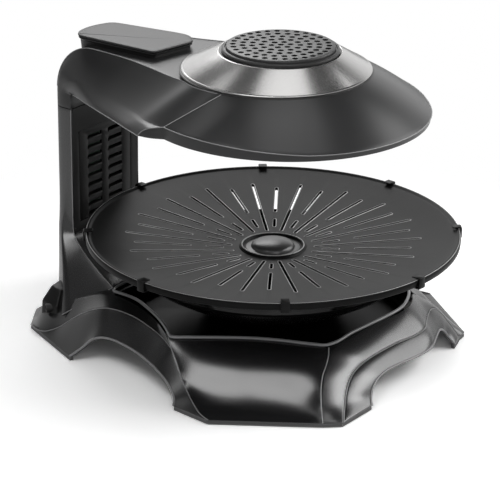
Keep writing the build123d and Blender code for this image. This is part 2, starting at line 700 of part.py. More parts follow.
for n in range(guard_bars):
    bar = block(bar_start, bar_end, -half_bar, half_bar, head_bottom, guard_top)
    guard = guard + Pos(0, head_centre_y, 0) * Rot(0, 0, n * 360 / guard_bars) * bar
keep("lamp_guard", guard)

# Smoke fan: a duct on the reflector, a spider with the motor, the rotor and a filter.
filter_z = cap_base - 6.1 - filter_height
keep("grease_filter", disc(filter_radius, filter_z, filter_z + filter_height, y=ring_centre_y))
duct_z = crown_z + sheet
duct_top_z = filter_z - 0.1
keep("fan_duct", ring(duct_radius, duct_radius - duct_wall, duct_z, duct_top_z, y=ring_centre_y))
bracket = disc(motor_radius, bracket_z, bracket_z + bracket_sheet, y=ring_centre_y)
bore_limit = disc(duct_radius - duct_wall - fit_gap, bracket_z - 1, bracket_z + 3, y=ring_centre_y)
for n in range(3):
    arm = block(0, duct_radius, -bracket_arm / 2, bracket_arm / 2, bracket_z, bracket_z + bracket_sheet)
    bracket = bracket + (Pos(0, ring_centre_y, 0) * Rot(0, 0, 90 + n * 120) * arm & bore_limit)
keep("fan_bracket", bracket)
motor_z = bracket_z + bracket_sheet
rotor_z = motor_z + motor_height + 1.0
shaft_bore = disc(shaft_radius + hinge_bore_gap, motor_z + 3, motor_z + motor_height + 1, y=ring_centre_y)
keep("fan_motor", disc(motor_radius - 1, motor_z, motor_z + motor_height, y=ring_centre_y) - shaft_bore)
rotor = disc(fan_hub_radius, rotor_z, rotor_z + fan_height, y=ring_centre_y)
for n in range(blade_count):
    blade = Rot(blade_pitch, 0, 0) * block(fan_hub_radius - 2, fan_radius - 0.5, -9, 9, -0.6, 0.6)
    blade = Pos(0, ring_centre_y, rotor_z + fan_height / 2) * Rot(0, 0, n * 360 / blade_count) * blade
    rotor = rotor + (blade & disc(fan_radius, rotor_z, rotor_z + fan_height, y=ring_centre_y))
rotor = rotor + disc(shaft_radius, motor_z + 3.3, rotor_z + 1, y=ring_centre_y)
keep("fan_rotor", rotor)

os.makedirs("parts", exist_ok=True)
for name, shape in nodes.items():
    export_step(shape, "parts/" + name + ".step")
    print(name, len(shape.solids()), round(shape.volume))
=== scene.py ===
import bmesh
import bpy
import math
from mathutils import Matrix, Vector


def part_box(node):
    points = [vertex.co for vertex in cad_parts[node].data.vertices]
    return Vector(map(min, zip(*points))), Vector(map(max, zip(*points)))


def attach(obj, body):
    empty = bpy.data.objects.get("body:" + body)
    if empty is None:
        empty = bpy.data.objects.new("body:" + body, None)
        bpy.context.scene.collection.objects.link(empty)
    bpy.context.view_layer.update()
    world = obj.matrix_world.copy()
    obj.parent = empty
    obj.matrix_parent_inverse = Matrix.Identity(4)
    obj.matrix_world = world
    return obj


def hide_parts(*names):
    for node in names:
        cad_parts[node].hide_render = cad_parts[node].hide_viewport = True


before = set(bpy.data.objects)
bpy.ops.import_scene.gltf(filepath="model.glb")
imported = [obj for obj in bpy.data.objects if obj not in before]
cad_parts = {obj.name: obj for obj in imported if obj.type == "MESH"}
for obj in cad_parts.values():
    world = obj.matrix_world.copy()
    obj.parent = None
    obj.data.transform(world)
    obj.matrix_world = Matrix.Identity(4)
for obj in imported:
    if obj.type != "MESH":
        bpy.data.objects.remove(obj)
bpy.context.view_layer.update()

# Studio: a pale floor that fades to white away from the grill, eight soft lamps, and a
# world that is bright along the horizon behind the grill and dim above it.
FLOOR_HALF = 6.0
FLOOR_GREY = (0.82, 0.82, 0.82, 1)
FLOOR_SEEN = (1.45, 1.45, 1.45, 1)
FLOOR_LIFT = 0.02
WHITE_FROM = (0.24, 0.5)
WHITE = (1, 1, 1, 1)
BACKDROP_SIDE = (0.8, 0.6, 0.0)
BACKDROP_SPREAD = (0.62, 0.90)
BACKDROP_HEIGHT = (0.40, 0.62)
BACKDROP_LIGHT = 1.0
FRONT_LIGHT = 0.30
ZENITH_LIGHT = 0.06
LAMPS = [
    ("overhead_lamp", (0.10, -0.10, 1.60), (0.0, 0.0, 0.10), (0.70, 0.70), 2.4),
    ("key_lamp", (-0.92, -0.14, 1.40), (-0.12, -0.09, 0.02), (0.85, 0.60), 6.5),
    ("front_lamp", (0.45, -0.88, 0.95), (-0.06, -0.14, 0.03), (0.60, 0.50), 3.5),
    ("left_lamp", (-0.77, -1.10, 0.95), (-0.12, -0.11, 0.03), (0.90, 0.60), 2.4),
    ("right_lamp", (1.05, -0.75, 0.85), (0.03, -0.13, 0.03), (0.90, 1.00), 8.0),
    ("rear_lamp", (0.80, 0.85, 1.05), (-0.10, 0.08, 0.05), (0.60, 0.60), 5.0),
    ("rear_top_lamp", (-0.05, 0.95, 1.50), (-0.05, 0.0, 0.25), (0.50, 0.30), 0.6),
    ("left_top_lamp", (-0.55, 0.35, 1.60), (-0.10, 0.0, 0.25), (0.40, 0.40), 0.8),
]
CAMERA_PLACE = (-1.6185, -1.20237, 0.89646)
CAMERA_TURN = (68.07585, -0.53670, -53.17997)
CAMERA_LENS = 168.211


def new_object(name, data):
    """An object for a mesh, a lamp or a camera, linked into the scene."""
    thing = bpy.data.objects.new(name, data)
    bpy.context.collection.objects.link(thing)
    return thing


def grey(level):
    """A grey as a colour with full opacity."""
    return (level, level, level, 1)


def node_material(name):
    """An empty node material and its tree."""
    material = bpy.data.materials.new(name)
    material.use_nodes = True
    tree = material.node_tree
    tree.nodes.clear()
    return material, tree


def add_node(tree, kind, **inputs):
    """A node with its unlinked inputs set; underscores in names stand for spaces."""
    node = tree.nodes.new(kind)
    for name, value in inputs.items():
        node.inputs[name.replace("_", " ")].default_value = value
    return node


def calc_node(tree, kind, operation, *values):
    """A math node; each value is the number of an unlinked input and what it is set to."""
    node = tree.nodes.new(kind)
    node.operation = operation
    for inlet, value in values:
        node.inputs[inlet].default_value = value
    return node


def link_nodes(tree, *links):
    """Links nodes up; each link is a node, its output, the next node and its input."""
    for source, outlet, target, inlet in links:
        tree.links.new(source.outputs[outlet], target.inputs[inlet])


def smooth_range(tree, source, outlet, low, high, start, end):
    """A soft step between two values, driven by a node's output."""
    step = add_node(tree, "ShaderNodeMapRange", From_Min=low, From_Max=high, To_Min=start, To_Max=end)
    step.interpolation_type = "SMOOTHSTEP"
    link_nodes(tree, (source, outlet, step, "Value"))
    return step


def floor_material():
    """A pale matt floor that the camera sees lighter, and white further away."""
    material, tree = node_material("pale_floor")
    output = add_node(tree, "ShaderNodeOutputMaterial")
    matt = add_node(tree, "ShaderNodeBsdfDiffuse", Color=FLOOR_GREY)
    lift = add_node(tree, "ShaderNodeEmission", Color=WHITE, Strength=FLOOR_LIFT)
    white = add_node(tree, "ShaderNodeEmission", Color=WHITE, Strength=1.0)
    pale = add_node(tree, "ShaderNodeBsdfDiffuse", Color=FLOOR_SEEN)
    lifted = add_node(tree, "ShaderNodeAddShader")
    where = add_node(tree, "ShaderNodeTexCoord")
    reach = calc_node(tree, "ShaderNodeVectorMath", "LENGTH")
    edge = smooth_range(tree, reach, "Value", *WHITE_FROM, 0.0, 1.0)
    faded = add_node(tree, "ShaderNodeMixShader")
    seen = add_node(tree, "ShaderNodeLightPath")
    mix = add_node(tree, "ShaderNodeMixShader")
    link_nodes(tree, (pale, 0, lifted, 0), (lift, 0, lifted, 1), (where, "Object", reach, 0),
               (edge, 0, faded, 0), (lifted, 0, faded, 1), (white, 0, faded, 2),
               (seen, "Is Camera Ray", mix, 0), (matt, 0, mix, 1), (faded, 0, mix, 2), (mix, 0, output, 0))
    return material


def lay_floor():
    mesh = bpy.data.meshes.new("floor")
    corners = [(x * FLOOR_HALF, y * FLOOR_HALF, 0) for x, y in ((-1, -1), (1, -1), (1, 1), (-1, 1))]
    mesh.from_pydata(corners, [], [(0, 1, 2, 3)])
    floor = new_object("floor", mesh)
    mesh.materials.append(floor_material())


def light_world():
    """Dim light all round, a bright band low behind the grill, white to the camera."""
    world = bpy.data.worlds.new("studio")
    bpy.context.scene.world = world
    world.use_nodes = True
    tree = world.node_tree
    tree.nodes.clear()
    output = add_node(tree, "ShaderNodeOutputWorld")
    direction = add_node(tree, "ShaderNodeTexCoord")
    split = add_node(tree, "ShaderNodeSeparateXYZ")
    rearward = calc_node(tree, "ShaderNodeVectorMath", "DOT_PRODUCT", (1, BACKDROP_SIDE))
    wall = smooth_range(tree, rearward, "Value", *BACKDROP_SPREAD, FRONT_LIGHT, BACKDROP_LIGHT)
    high = smooth_range(tree, split, "Z", *BACKDROP_HEIGHT, 1.0, 0.0)
    glow = calc_node(tree, "ShaderNodeMath", "MULTIPLY_ADD", (2, ZENITH_LIGHT))
    room = add_node(tree, "ShaderNodeBackground", Color=WHITE)
    white = add_node(tree, "ShaderNodeBackground", Color=WHITE, Strength=1.0)
    seen = add_node(tree, "ShaderNodeLightPath")
    mix = add_node(tree, "ShaderNodeMixShader")
    link_nodes(tree, (direction, "Generated", split, 0), (direction, "Generated", rearward, 0),
               (wall, 0, glow, 0), (high, 0, glow, 1), (glow, 0, room, "Strength"),
               (seen, "Is Camera Ray", mix, 0), (room, 0, mix, 1), (white, 0, mix, 2), (mix, 0, output, 0))


def hang_lamp(name, place, aim, size, power):
    """A soft rectangular lamp at a place, turned to its aim."""
    lamp = bpy.data.lights.new(name, "AREA")
    lamp.shape = "RECTANGLE"
    lamp.size, lamp.size_y = size
    lamp.energy = power
    holder = new_object(name, lamp)
    holder.location = place
    holder.rotation_euler = (Vector(aim) - Vector(place)).to_track_quat("-Z", "Y").to_euler()


def set_camera():
    camera = bpy.data.cameras.new("camera")
    camera.sensor_width = 36
    camera.lens = CAMERA_LENS
    camera.clip_end = 50
    holder = new_object("camera", camera)
    holder.location = CAMERA_PLACE
    holder.rotation_euler = [math.radians(a) for a in CAMERA_TURN]
    bpy.context.scene.camera = holder


lay_floor()
light_world()
for lamp in LAMPS:
    hang_lamp(*lamp)
set_camera()
bpy.context.scene.view_settings.view_transform = "Standard"

# Base shell: one dark graphite moulding with four splayed feet. Smooth flared
# panels meet in crisp edges; the front wall has an opening for a let-in panel.
AXIS_Y = 500 * (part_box("grill_plate")[0][1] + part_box("grill_plate")[1][1])
SHELL_FOOT_Z = 4.6
SHELL_WALL = 2.4
EDGE_ROUND = 0.7
FACET_SWELL = 6.2
FACET_ROWS = 22
FACET_COLUMNS = 30
CREASE_STEPS = 52
PANEL_ROWS = 10
SHOULDER_ROWS = 8
WALL_SWELL = 1.0
GRAPHITE = (0.013, 0.013, 0.0135, 1)
FACET_INNER_EDGE = [
    (-136, 15, 47), (-140, 8, 39), (-144, 0, 32), (-151, -11, 23),
    (-158, -23, 15), (-166, -36, 9.5), (-174, -50, 6), (-178, -62, 4.6),
]
FACET_FRONT_EDGE = [
    (-66, -110.5, 47), (-72, -114.3, 42), (-80, -117.7, 37), (-90.5, -121.5, 31.8),
    (-100.2, -126.7, 25.1), (-110.1, -134, 16.6), (-116.5, -139.6, 9.6), (-122, -144.5, 4.6),
]
FACET_FRONT_EDGE_RIGHT = [
    (84, -101.5, 47), (91, -102, 42.5), (99, -103.8, 37.5), (108, -110.5, 28), (114.5, -121, 16),
    (117.5, -130, 9), (119, -138, 4.6),
]
FACET_TOP = [
    (-136, 15, 47), (-122, -5, 47), (-105, -30, 47), (-94, -46, 47), (-83, -68, 47), (-73, -93, 47),
    (-66, -110.5, 47),
]
FACET_TOP_RIGHT = [
    (136, 15, 47), (124, -8, 47), (112, -38, 47), (102, -66, 47), (93, -88, 47), (84, -101.5, 47),
]
SIDE_CREASE = [
    (-140, 8, 39), (-135, 19, 42), (-129, 32, 43.5), (-123, 47, 44), (-117, 63, 44), (-113, 78, 44),
    (-111, 96, 43.5), (-112, 110, 42), (-113, 125, 36), (-115, 143, 25), (-121, 157, 13.5),
    (-126, 170, 7.2), (-124.5, 183, 5.2), (-118, 196, 4.6),
]
SIDE_ARCH = [
    (-174, -21, 4.6), (-168, -17, 8), (-161, -5, 16), (-154, 15, 23), (-146, 40, 27), (-141, 63, 28.5),
    (-138, 83, 28), (-139, 94, 26), (-141, 101, 22.5), (-145, 109, 14), (-151, 119, 4.6),
]
SHOULDER_TOP = [
    (-136, 15, 47), (-127, 28, 47), (-115, 45, 47), (-104, 66, 47), (-96, 88, 47), (-92, 112, 47),
    (-92, 130, 45), (-96, 152, 36), (-99, 178, 24), (-97, 200, 15), (-88, 216, 4.6),
]


def place(x, y, z):
    """A point in the grill's frame, in metres, from millimetres about the plate's axis."""
    return Vector((x / 1000, (y + AXIS_Y) / 1000, z / 1000))


def smooth_line(points, count):
    """Evenly spaced points on a smooth curve through the given ones."""
    fine = []
    steps = 24
    points = [Vector(p) for p in points]
    ends = [2 * points[0] - points[1]] + points + [2 * points[-1] - points[-2]]
    for a, b, c, d in zip(ends, ends[1:], ends[2:], ends[3:]):
        ab, bc, cd = (b - a).length ** 0.5, (c - b).length ** 0.5, (d - c).length ** 0.5
        m1 = ((b - a) / ab - (c - a) / (ab + bc) + (c - b) / bc) * bc
        m2 = ((c - b) / bc - (d - b) / (bc + cd) + (d - c) / cd) * bc
        for step in range(steps):
            t = step / steps
            h1 = 2 * t ** 3 - 3 * t ** 2 + 1
            h2 = t ** 3 - 2 * t ** 2 + t
            h4 = t ** 3 - t ** 2
            fine.append(b * h1 + m1 * h2 + c * (1 - h1) + m2 * h4)
    fine.append(points[-1])
    return even_line(fine, count)


def even_line(points, count):
    """Points at even distances along a run of straight pieces."""
    points = [Vector(p) for p in points]
    lengths = [0.0]
    for a, b in zip(points, points[1:]):
        lengths.append(lengths[-1] + (b - a).length)
    out = []
    here = 0
    for step in range(count + 1):
        goal = lengths[-1] * step / count
        while here < len(points) - 2 and lengths[here + 1] < goal:
            here += 1
        span = lengths[here + 1] - lengths[here]
        share = (goal - lengths[here]) / span if span else 0
        out.append(points[here].lerp(points[here + 1], share))
    return out


def panel_between(first, last, start, end):
    """A grid of points whose four edges are the given lines (a Coons panel)."""
    rows, columns = len(start) - 1, len(first) - 1
    grid = []
    for j in range(rows + 1):
        v = j / rows
        line = []
        for i in range(columns + 1):
            u = i / columns
            across = first[i] * (1 - v) + last[i] * v
            along = start[j] * (1 - u) + end[j] * u
            corners = (first[0] * (1 - u) + first[-1] * u) * (1 - v)
            corners += (last[0] * (1 - u) + last[-1] * u) * v
            line.append(across + along - corners)
        grid.append(line)
    return grid


def add_grid(form, grid, both_sides=False):
    """Adds a grid of millimetre points to a mesh, and its mirror image if asked."""
    for side in (1, -1) if both_sides else (1,):
        rows = [[form.verts.new(place(p[0] * side, p[1], p[2])) for p in line] for line in grid]
        for low, high in zip(rows, rows[1:]):
            for a, b, c, d in zip(low, low[1:], high[1:], high):
                if len({tuple(v.co) for v in (a, b, c, d)}) > 2:
                    form.faces.new((a, b, c, d) if side == 1 else (d, c, b, a))


def loft(form, loops, closed=False, ends=True, spot=place):
    """Joins closed loops of millimetre points, each to the next, and caps the ends."""
    rings = [[form.verts.new(spot(*p)) for p in loop] for loop in loops]
    for low, high in zip(rings, rings[1:] + (rings[:1] if closed else [])):
        for k in range(len(low)):
            other = (k + 1) % len(low)
            form.faces.new((low[k], low[other], high[other], high[k]))
    if ends and not closed:
        form.faces.new(rings[0][::-1])
        form.faces.new(rings[-1])
    return rings


def form_object(name, form):
    """Makes an object of a mesh that is still in work."""
    mesh = bpy.data.meshes.new(name)
    form.to_mesh(mesh)
    form.free()
    return new_object(name, mesh)


def smooth_faces(mesh, angle):
    """Shades a mesh smooth, apart from edges sharper than an angle."""
    mesh.polygons.foreach_set("use_smooth", [True] * len(mesh.polygons))
    mesh.set_sharp_from_angle(angle=math.radians(angle))


def finish_form(name, form, weld=0.02, smooth_angle=30.0, recalculate=True):
    """Welds a mesh's seams, turns its faces outwards and makes it an object."""
    bmesh.ops.remove_doubles(form, verts=form.verts, dist=weld / 1000)
    bmesh.ops.dissolve_degenerate(form, edges=form.edges, dist=0.001 / 1000)
    if recalculate:
        bmesh.ops.recalc_face_normals(form, faces=form.faces)
    piece = form_object(name, form)
    smooth_faces(piece.data, smooth_angle)
    return piece


def apply_modifiers(piece, smooth_angle=30.0):
    """Bakes the piece's modifiers into its mesh."""
    graph = bpy.context.evaluated_depsgraph_get()
    mesh = bpy.data.meshes.new_from_object(piece.evaluated_get(graph))
    piece.modifiers.clear()
    piece.data = mesh
    smooth_faces(mesh, smooth_angle)


def give_wall(piece, wall, offset=-1.0):
    """Turns a skin into a wall of a given thickness, inwards unless told otherwise."""
    thick = piece.modifiers.new("wall", "SOLIDIFY")
    thick.thickness = wall / 1000
    thick.offset = offset
    apply_modifiers(piece)


def round_edges(piece, width, angle=32.0, segments=3, smooth_angle=35.0, finishes=()):
    """Rounds the sharp edges; with two finishes, the rounded strips get the second, a lighter grey that
    paints a highlight along each edge.
    """
    for finish in finishes:
        piece.data.materials.append(finish)
    soft = piece.modifiers.new("edges", "BEVEL")
    soft.limit_method = "ANGLE"
    soft.angle_limit = math.radians(angle)
    soft.width = width / 1000
    soft.segments = segments
    soft.use_clamp_overlap = True
    soft.material = len(finishes) - 1
    apply_modifiers(piece, smooth_angle)


def new_finish(name, **inputs):
    """A material with one Principled shader, and a coordinate node for its textures."""
    material, tree = node_material(name)
    output = add_node(tree, "ShaderNodeOutputMaterial")
    shader = add_node(tree, "ShaderNodeBsdfPrincipled", **inputs)
    link_nodes(tree, (shader, 0, output, 0))
    return material, tree, shader, add_node(tree, "ShaderNodeTexCoord")


def vary_colour(tree, shader, cloud, colour, spread):
    """Lets a texture darken and lighten the colour."""
    shade = add_node(tree, "ShaderNodeValToRGB")
    for element, share in zip(shade.color_ramp.elements, (1 - spread, 1 + spread)):
        element.color = tuple(c * share for c in colour[:3]) + (1,)
    link_nodes(tree, (cloud, "Fac", shade, "Fac"), (shade, "Color", shader, "Base Color"))


def vary_surface(tree, shader, cloud, low, high, relief, outlet, strength, depth=0.0002):
    """Lets one texture vary the roughness and one raise a fine grain."""
    sheen = add_node(tree, "ShaderNodeMapRange", To_Min=low, To_Max=high)
    bump = add_node(tree, "ShaderNodeBump", Strength=strength, Distance=depth)
    link_nodes(tree, (cloud, "Fac", sheen, "Value"), (sheen, 0, shader, "Roughness"),
               (relief, outlet, bump, "Height"), (bump, 0, shader, "Normal"))


def satin_moulding(name, colour, roughness, gloss=0.65, grain=0.03, ior=1.5):
    """Dark satin moulding: slight clouding and a very fine grain."""
    material, tree, shader, where = new_finish(name, IOR=ior, Specular_IOR_Level=gloss)
    cloud = add_node(tree, "ShaderNodeTexNoise", Scale=9.0, Detail=4.0)
    fine = add_node(tree, "ShaderNodeTexNoise", Scale=1400.0, Detail=2.0)
    link_nodes(tree, (where, "Object", cloud, "Vector"), (where, "Object", fine, "Vector"))
    vary_colour(tree, shader, cloud, colour, 0.1)
    vary_surface(tree, shader, cloud, roughness - 0.03, roughness + 0.03, fine, "Fac", grain)
    return material


def hand_over(piece, body, slot, material, *nodes):
    """Gives a finished piece its material, its body and the CAD nodes that it stands for."""
    if len(piece.data.materials) < 2:
        piece.data.materials.clear()
        piece.data.materials.append(material)
    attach(piece, body)
    if nodes:
        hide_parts(*nodes)


# Matching stations along the front wall, left foot to right foot: its outer edge,
# the groove round the arch panel, and the lip of the arch.
WALL_EDGE = [
    (-122, -144.5, 4.6), (-114.5, -137.8, 12), (-105, -130, 21), (-90.5, -121.5, 31.8), (-76, -116, 39.6),
    (-60, -113, 46), (-40, -113, 47), (-10, -113.5, 47), (25, -116, 47), (50, -117, 47), (68, -111, 47),
    (84, -101.5, 46.5), (99, -103.8, 37.5), (108, -110.5, 28), (114.5, -121, 16), (119, -138, 4.6),
]
WALL_GROOVE = [
    (-110, -157.5, 4.6), (-94, -147, 11.5), (-80.5, -139.5, 20), (-66.5, -134.8, 27), (-53, -133.3, 30.8),
    (-39, -133.3, 32.9), (-19, -133.5, 33.7), (7, -134.5, 33.5), (30, -137.5, 33), (50, -136, 33),
    (66, -128, 33), (80, -121, 33.6), (92, -117.5, 33.6), (101, -120.5, 28.5), (105.5, -128.5, 18),
    (109, -139, 4.6),
]
ARCH_LIP = [
    (-66, -158, 4.6), (-62.5, -154.5, 9), (-57, -151.5, 14.5), (-49, -149.5, 18.5), (-39, -148.5, 21),
    (-28, -148, 22), (-13, -149, 22), (5, -151, 21.5), (25, -152.5, 21), (43, -150, 21),
    (57, -144.5, 21.4), (69, -139.5, 21.8), (77, -136.8, 21.6), (83.5, -137, 18.5), (87.5, -139.5, 12),
    (90, -146, 4.6),
]
GROOVE_WIDTH = 1.1


def station_line(points, steps=5):
    """A smooth curve with the same number of points between each two stations."""
    out = []
    points = [Vector(p) for p in points]
    ends = [2 * points[0] - points[1]] + points + [2 * points[-1] - points[-2]]
    for a, b, c, d in zip(ends, ends[1:], ends[2:], ends[3:]):
        for step in range(steps):
            t = step / steps
            out.append(0.5 * (2 * b + (c - a) * t + (2 * a - 5 * b + 4 * c - d) * t * t
                              + (3 * b - a - 3 * c + d) * t ** 3))
    return out + [points[-1]]


def ruled(first, last, rows, swell=0.0):
    """Straight lines from one curve to another, bowed out by swell in the middle."""
    grid = []
    for row in range(rows + 1):
        t = row / rows
        lift = Vector((0, -0.5, 0.85)) * swell * 4 * t * (1 - t)
        grid.append([a.lerp(b, t) + lift for a, b in zip(first, last)])
    return grid


def to_the_middle(line, steps):
    """A grid from a line straight across to the grill's middle plane."""
    return [[Vector((p.x * (1 - k / steps), p.y, p.z)) for p in line] for k in range(steps + 1)]


def shifted(line, towards, distance):
    """A curve moved a fixed distance towards the matching points of another."""
    return [a + (b - a).normalized() * distance for a, b in zip(line, towards)]


wall_edge, wall_groove, arch_lip = [station_line(p) for p in (WALL_EDGE, WALL_GROOVE, ARCH_LIP)]
panel_edge = shifted(wall_groove, arch_lip, GROOVE_WIDTH)

def facet_panel(top, inner, outer):
    """A flared panel between the deck and the table, steepest half way down."""
    low = even_line([inner[-1], outer[-1]], FACET_COLUMNS)
    sides = smooth_line(inner, FACET_ROWS), smooth_line(outer, FACET_ROWS)
    grid = panel_between(smooth_line(top, FACET_COLUMNS), low, *sides)
    for row, line in enumerate(grid):
        wave = math.sin(2 * math.pi * row / FACET_ROWS)
        for column, point in enumerate(line):
            point.z += FACET_SWELL * wave * (1 - abs(2 * column / FACET_COLUMNS - 1) ** 5)
            point.z = max(point.z, SHELL_FOOT_Z)
    return grid


shell = bmesh.new()
right_inner = [(-x, y, z) for x, y, z in FACET_INNER_EDGE]
add_grid(shell, facet_panel(FACET_TOP, FACET_INNER_EDGE, FACET_FRONT_EDGE))
add_grid(shell, facet_panel(FACET_TOP_RIGHT, right_inner, FACET_FRONT_EDGE_RIGHT))
foot_run = even_line([FACET_INNER_EDGE[-1], SIDE_ARCH[0]], 8)
panel_low = foot_run + smooth_line(SIDE_ARCH, 44)[1:]
panel_low += even_line([SIDE_ARCH[-1], SIDE_CREASE[-1]], 18)[1:]
crease = smooth_line(SIDE_CREASE, CREASE_STEPS)
panel_high = [p for p in smooth_line(FACET_INNER_EDGE, FACET_ROWS)[::-1] if p.z < SIDE_CREASE[0][2] - 0.1]
panel_high = even_line(panel_high + crease, len(panel_low) - 1)
add_grid(shell, ruled(panel_high, panel_low, PANEL_ROWS), True)
shoulder_start = even_line([SHOULDER_TOP[0], SIDE_CREASE[0]], SHOULDER_ROWS)
shoulder_end = even_line([SHOULDER_TOP[-1], SIDE_CREASE[-1]], SHOULDER_ROWS)
shoulder_top = smooth_line(SHOULDER_TOP, CREASE_STEPS)
add_grid(shell, panel_between(shoulder_top, crease, shoulder_start, shoulder_end), True)
add_grid(shell, to_the_middle(shoulder_top[CREASE_STEPS // 2:], SHOULDER_ROWS), True)
add_grid(shell, ruled(wall_edge, wall_groove, PANEL_ROWS, WALL_SWELL))
base = finish_form("base_shell_skin", shell, weld=0.4)
give_wall(base, SHELL_WALL)
graphite = satin_moulding("graphite_moulding", GRAPHITE, roughness=0.25, gloss=0.9, ior=1.6)
# Painted highlight: a light grey for rounded edge strips and edge beads, which paints a highlight line
# along each edge.
painted_edge_highlight = satin_moulding("graphite_painted_edge_highlight", (0.22, 0.22, 0.223, 1), roughness=0.25, gloss=1.0)
round_edges(base, EDGE_ROUND, finishes=(graphite, painted_edge_highlight))
hand_over(base, "base", "body_moulding", graphite, "base_shell")

# Arch panel: a separate moulding let into the front wall round the arch, with a
# narrow groove all round it.
panel_form = bmesh.new()
add_grid(panel_form, ruled(panel_edge, arch_lip, PANEL_ROWS, WALL_SWELL))
arch_panel = finish_form("arch_panel_skin", panel_form, weld=0.4)
give_wall(arch_panel, SHELL_WALL)
round_edges(arch_panel, EDGE_ROUND, finishes=(graphite, painted_edge_highlight))
hand_over(arch_panel, "base", "body_moulding", graphite, "front_arch_panel")

# Arch beads: a thin bead rolled along the edge of each arch, moulded with the shell and its arch panel; its
# lighter grey paints a highlight line along the arch.
ARCH_BEAD_RADIUS = 1.1


def sweep_round(form, line, radius, sides, closed=True):
    """A round bead along a line of millimetre points."""
    count = len(line)
    loops = []
    for k in range(count):
        ahead = line[(k + 1) % count] if closed or k < count - 1 else line[k]
        behind = line[k - 1] if closed or k > 0 else line[k]
        run = (ahead - behind).normalized()
        across = run.cross(Vector((0, 0, 1)))
        across = across.normalized() if across.length > 0.05 else Vector((0, 1, 0))
        up = across.cross(run).normalized()
        turns = [2 * math.pi * side / sides for side in range(sides)]
        loops.append([line[k] + across * radius * math.cos(a) + up * radius * math.sin(a) for a in turns])
    loft(form, loops, closed)


bead_form = bmesh.new()
for side in (1, -1):
    arch = [Vector((p.x * side, p.y, max(p.z, SHELL_FOOT_Z + 0.5))) for p in smooth_line(SIDE_ARCH, 60)]
    sweep_round(bead_form, arch, ARCH_BEAD_RADIUS, sides=8, closed=False)
sweep_round(bead_form, even_line(arch_lip, 90), ARCH_BEAD_RADIUS, sides=8, closed=False)
arch_beads = finish_form("arch_beads", bead_form, smooth_angle=60)
hand_over(arch_beads, "base", "body_moulding", painted_edge_highlight)

# Shell edge lines: fine rounded beads along the crisp edges between the shell's panels, in a lighter grey
# that paints a highlight line on each edge.
EDGE_BEAD_RADIUS = 0.55
FOOT_REACH = 177.3


def edge_beads(name, lines, body, radius=EDGE_BEAD_RADIUS):
    """Fine beads along edges, in a lighter grey that paints highlight lines; each line comes with whether
    it has a mirror image.
    """
    form = bmesh.new()
    for line, mirrored in lines:
        line = [Vector((min(max(p.x, -FOOT_REACH), FOOT_REACH), p.y, p.z)) for p in line]
        sweep_round(form, line, radius, sides=6, closed=False)
        if mirrored:
            sweep_round(form, [Vector((-p.x, p.y, p.z)) for p in line], radius, sides=6, closed=False)
    beads = finish_form(name, form, weld=0.005, smooth_angle=70)
    hand_over(beads, body, "body_moulding", painted_edge_highlight)


edge_beads("shell_edge_beads", [
    (crease, True), (smooth_line(FACET_INNER_EDGE, 40), True), (smooth_line(FACET_FRONT_EDGE, 40), False),
    (smooth_line(FACET_FRONT_EDGE_RIGHT, 40), False), (even_line(panel_edge, 110), False),
], "base")

# Floor cover: a black tray screwed up under the base. Its deep rim reaches down below the cover as a black
# sheet that stands in for the shade under the base, where it shows through the arches.
TRAY_TOP_Z = 30.5
TRAY_SHADE_RIM_Z = 20.0
TRAY_OUTLINE = [
    (-116, 14), (-100, -22), (-84, -56), (-60, -92), (0, -106), (60, -92), (84, -56), (100, -22), (116, 14),
    (120, 60), (108, 110), (60, 128), (-60, 128), (-108, 110), (-120, 60),
]
TRAY_LEVELS = [(0.97, 28.5), (0.98, TRAY_SHADE_RIM_Z), (1.0, TRAY_SHADE_RIM_Z), (1.0, TRAY_TOP_Z)]
tray_form = bmesh.new()
loft(tray_form, [[(x * share, y * share, z) for x, y in TRAY_OUTLINE] for share, z in TRAY_LEVELS])
tray = finish_form("floor_tray", tray_form)
round_edges(tray, width=1.0, segments=2)
tray_black = satin_moulding("tray_black", grey(0.006), roughness=0.55, gloss=0.4)
hand_over(tray, "base", "floor_moulding", tray_black, "base_floor_cover")

# Soles: four grey rubber strips under the feet, let in under the shell's edge so
# that a dark line shows above them. Each is glued to the wall above it.
SOLE_TOP_Z = 4.0
SOLE_WIDTH = 4.0
SOLE_LEAN = 0.4
SOLE_CHAMFER = 0.6
FOOT_LINES = [
    [(-174, -21), (-178, -62), (-122, -144.5), (-110, -157.5), (-66, -158)],
    [(90, -146), (109, -139.5), (119, -138), (178, -62), (174, -21)],
    [(151, 119), (118, 196), (88, 216)],
    [(-88, 216), (-118, 196), (-151, 119)],
]


def offset_line(points, distance):
    """A plan line moved sideways to its right by a distance, mitred at its corners."""
    out = []
    for k, (x, y) in enumerate(points):
        normals = []
        for a, b in ((k - 1, k), (k, k + 1)):
            if a >= 0 and b < len(points):
                run = Vector((points[b][0] - points[a][0], points[b][1] - points[a][1])).normalized()
                normals.append(Vector((run.y, -run.x)))
        lean = sum(normals, Vector((0, 0))) / len(normals)
        lean = lean / lean.length_squared
        out.append((x + lean.x * distance, y + lean.y * distance))
    return out


soles = bmesh.new()
for line in FOOT_LINES:
    inner = offset_line(line, -SOLE_WIDTH)
    section = [(line, SOLE_CHAMFER), (offset_line(line, -SOLE_LEAN), SOLE_TOP_Z), (inner, SOLE_TOP_Z),
               (inner, 0.0), (offset_line(line, -SOLE_CHAMFER), 0.0)]
    loft(soles, [[(run[k][0], run[k][1], z) for run, z in section] for k in range(len(line))])
foot_strips = finish_form("foot_strips", soles)
sole_rubber = satin_moulding("sole_rubber", grey(0.09), roughness=0.5, gloss=0.5)
# Painted highlight: a lighter grey for the soles' rounded edge strips.
sole_painted_edge_highlight = satin_moulding("sole_painted_edge_highlight", grey(0.2), roughness=0.45, gloss=0.6)
round_edges(foot_strips, SOLE_CHAMFER, segments=2, finishes=(sole_rubber, sole_painted_edge_highlight))
hand_over(foot_strips, "base", "sole_rubber", sole_rubber, "foot_pads")

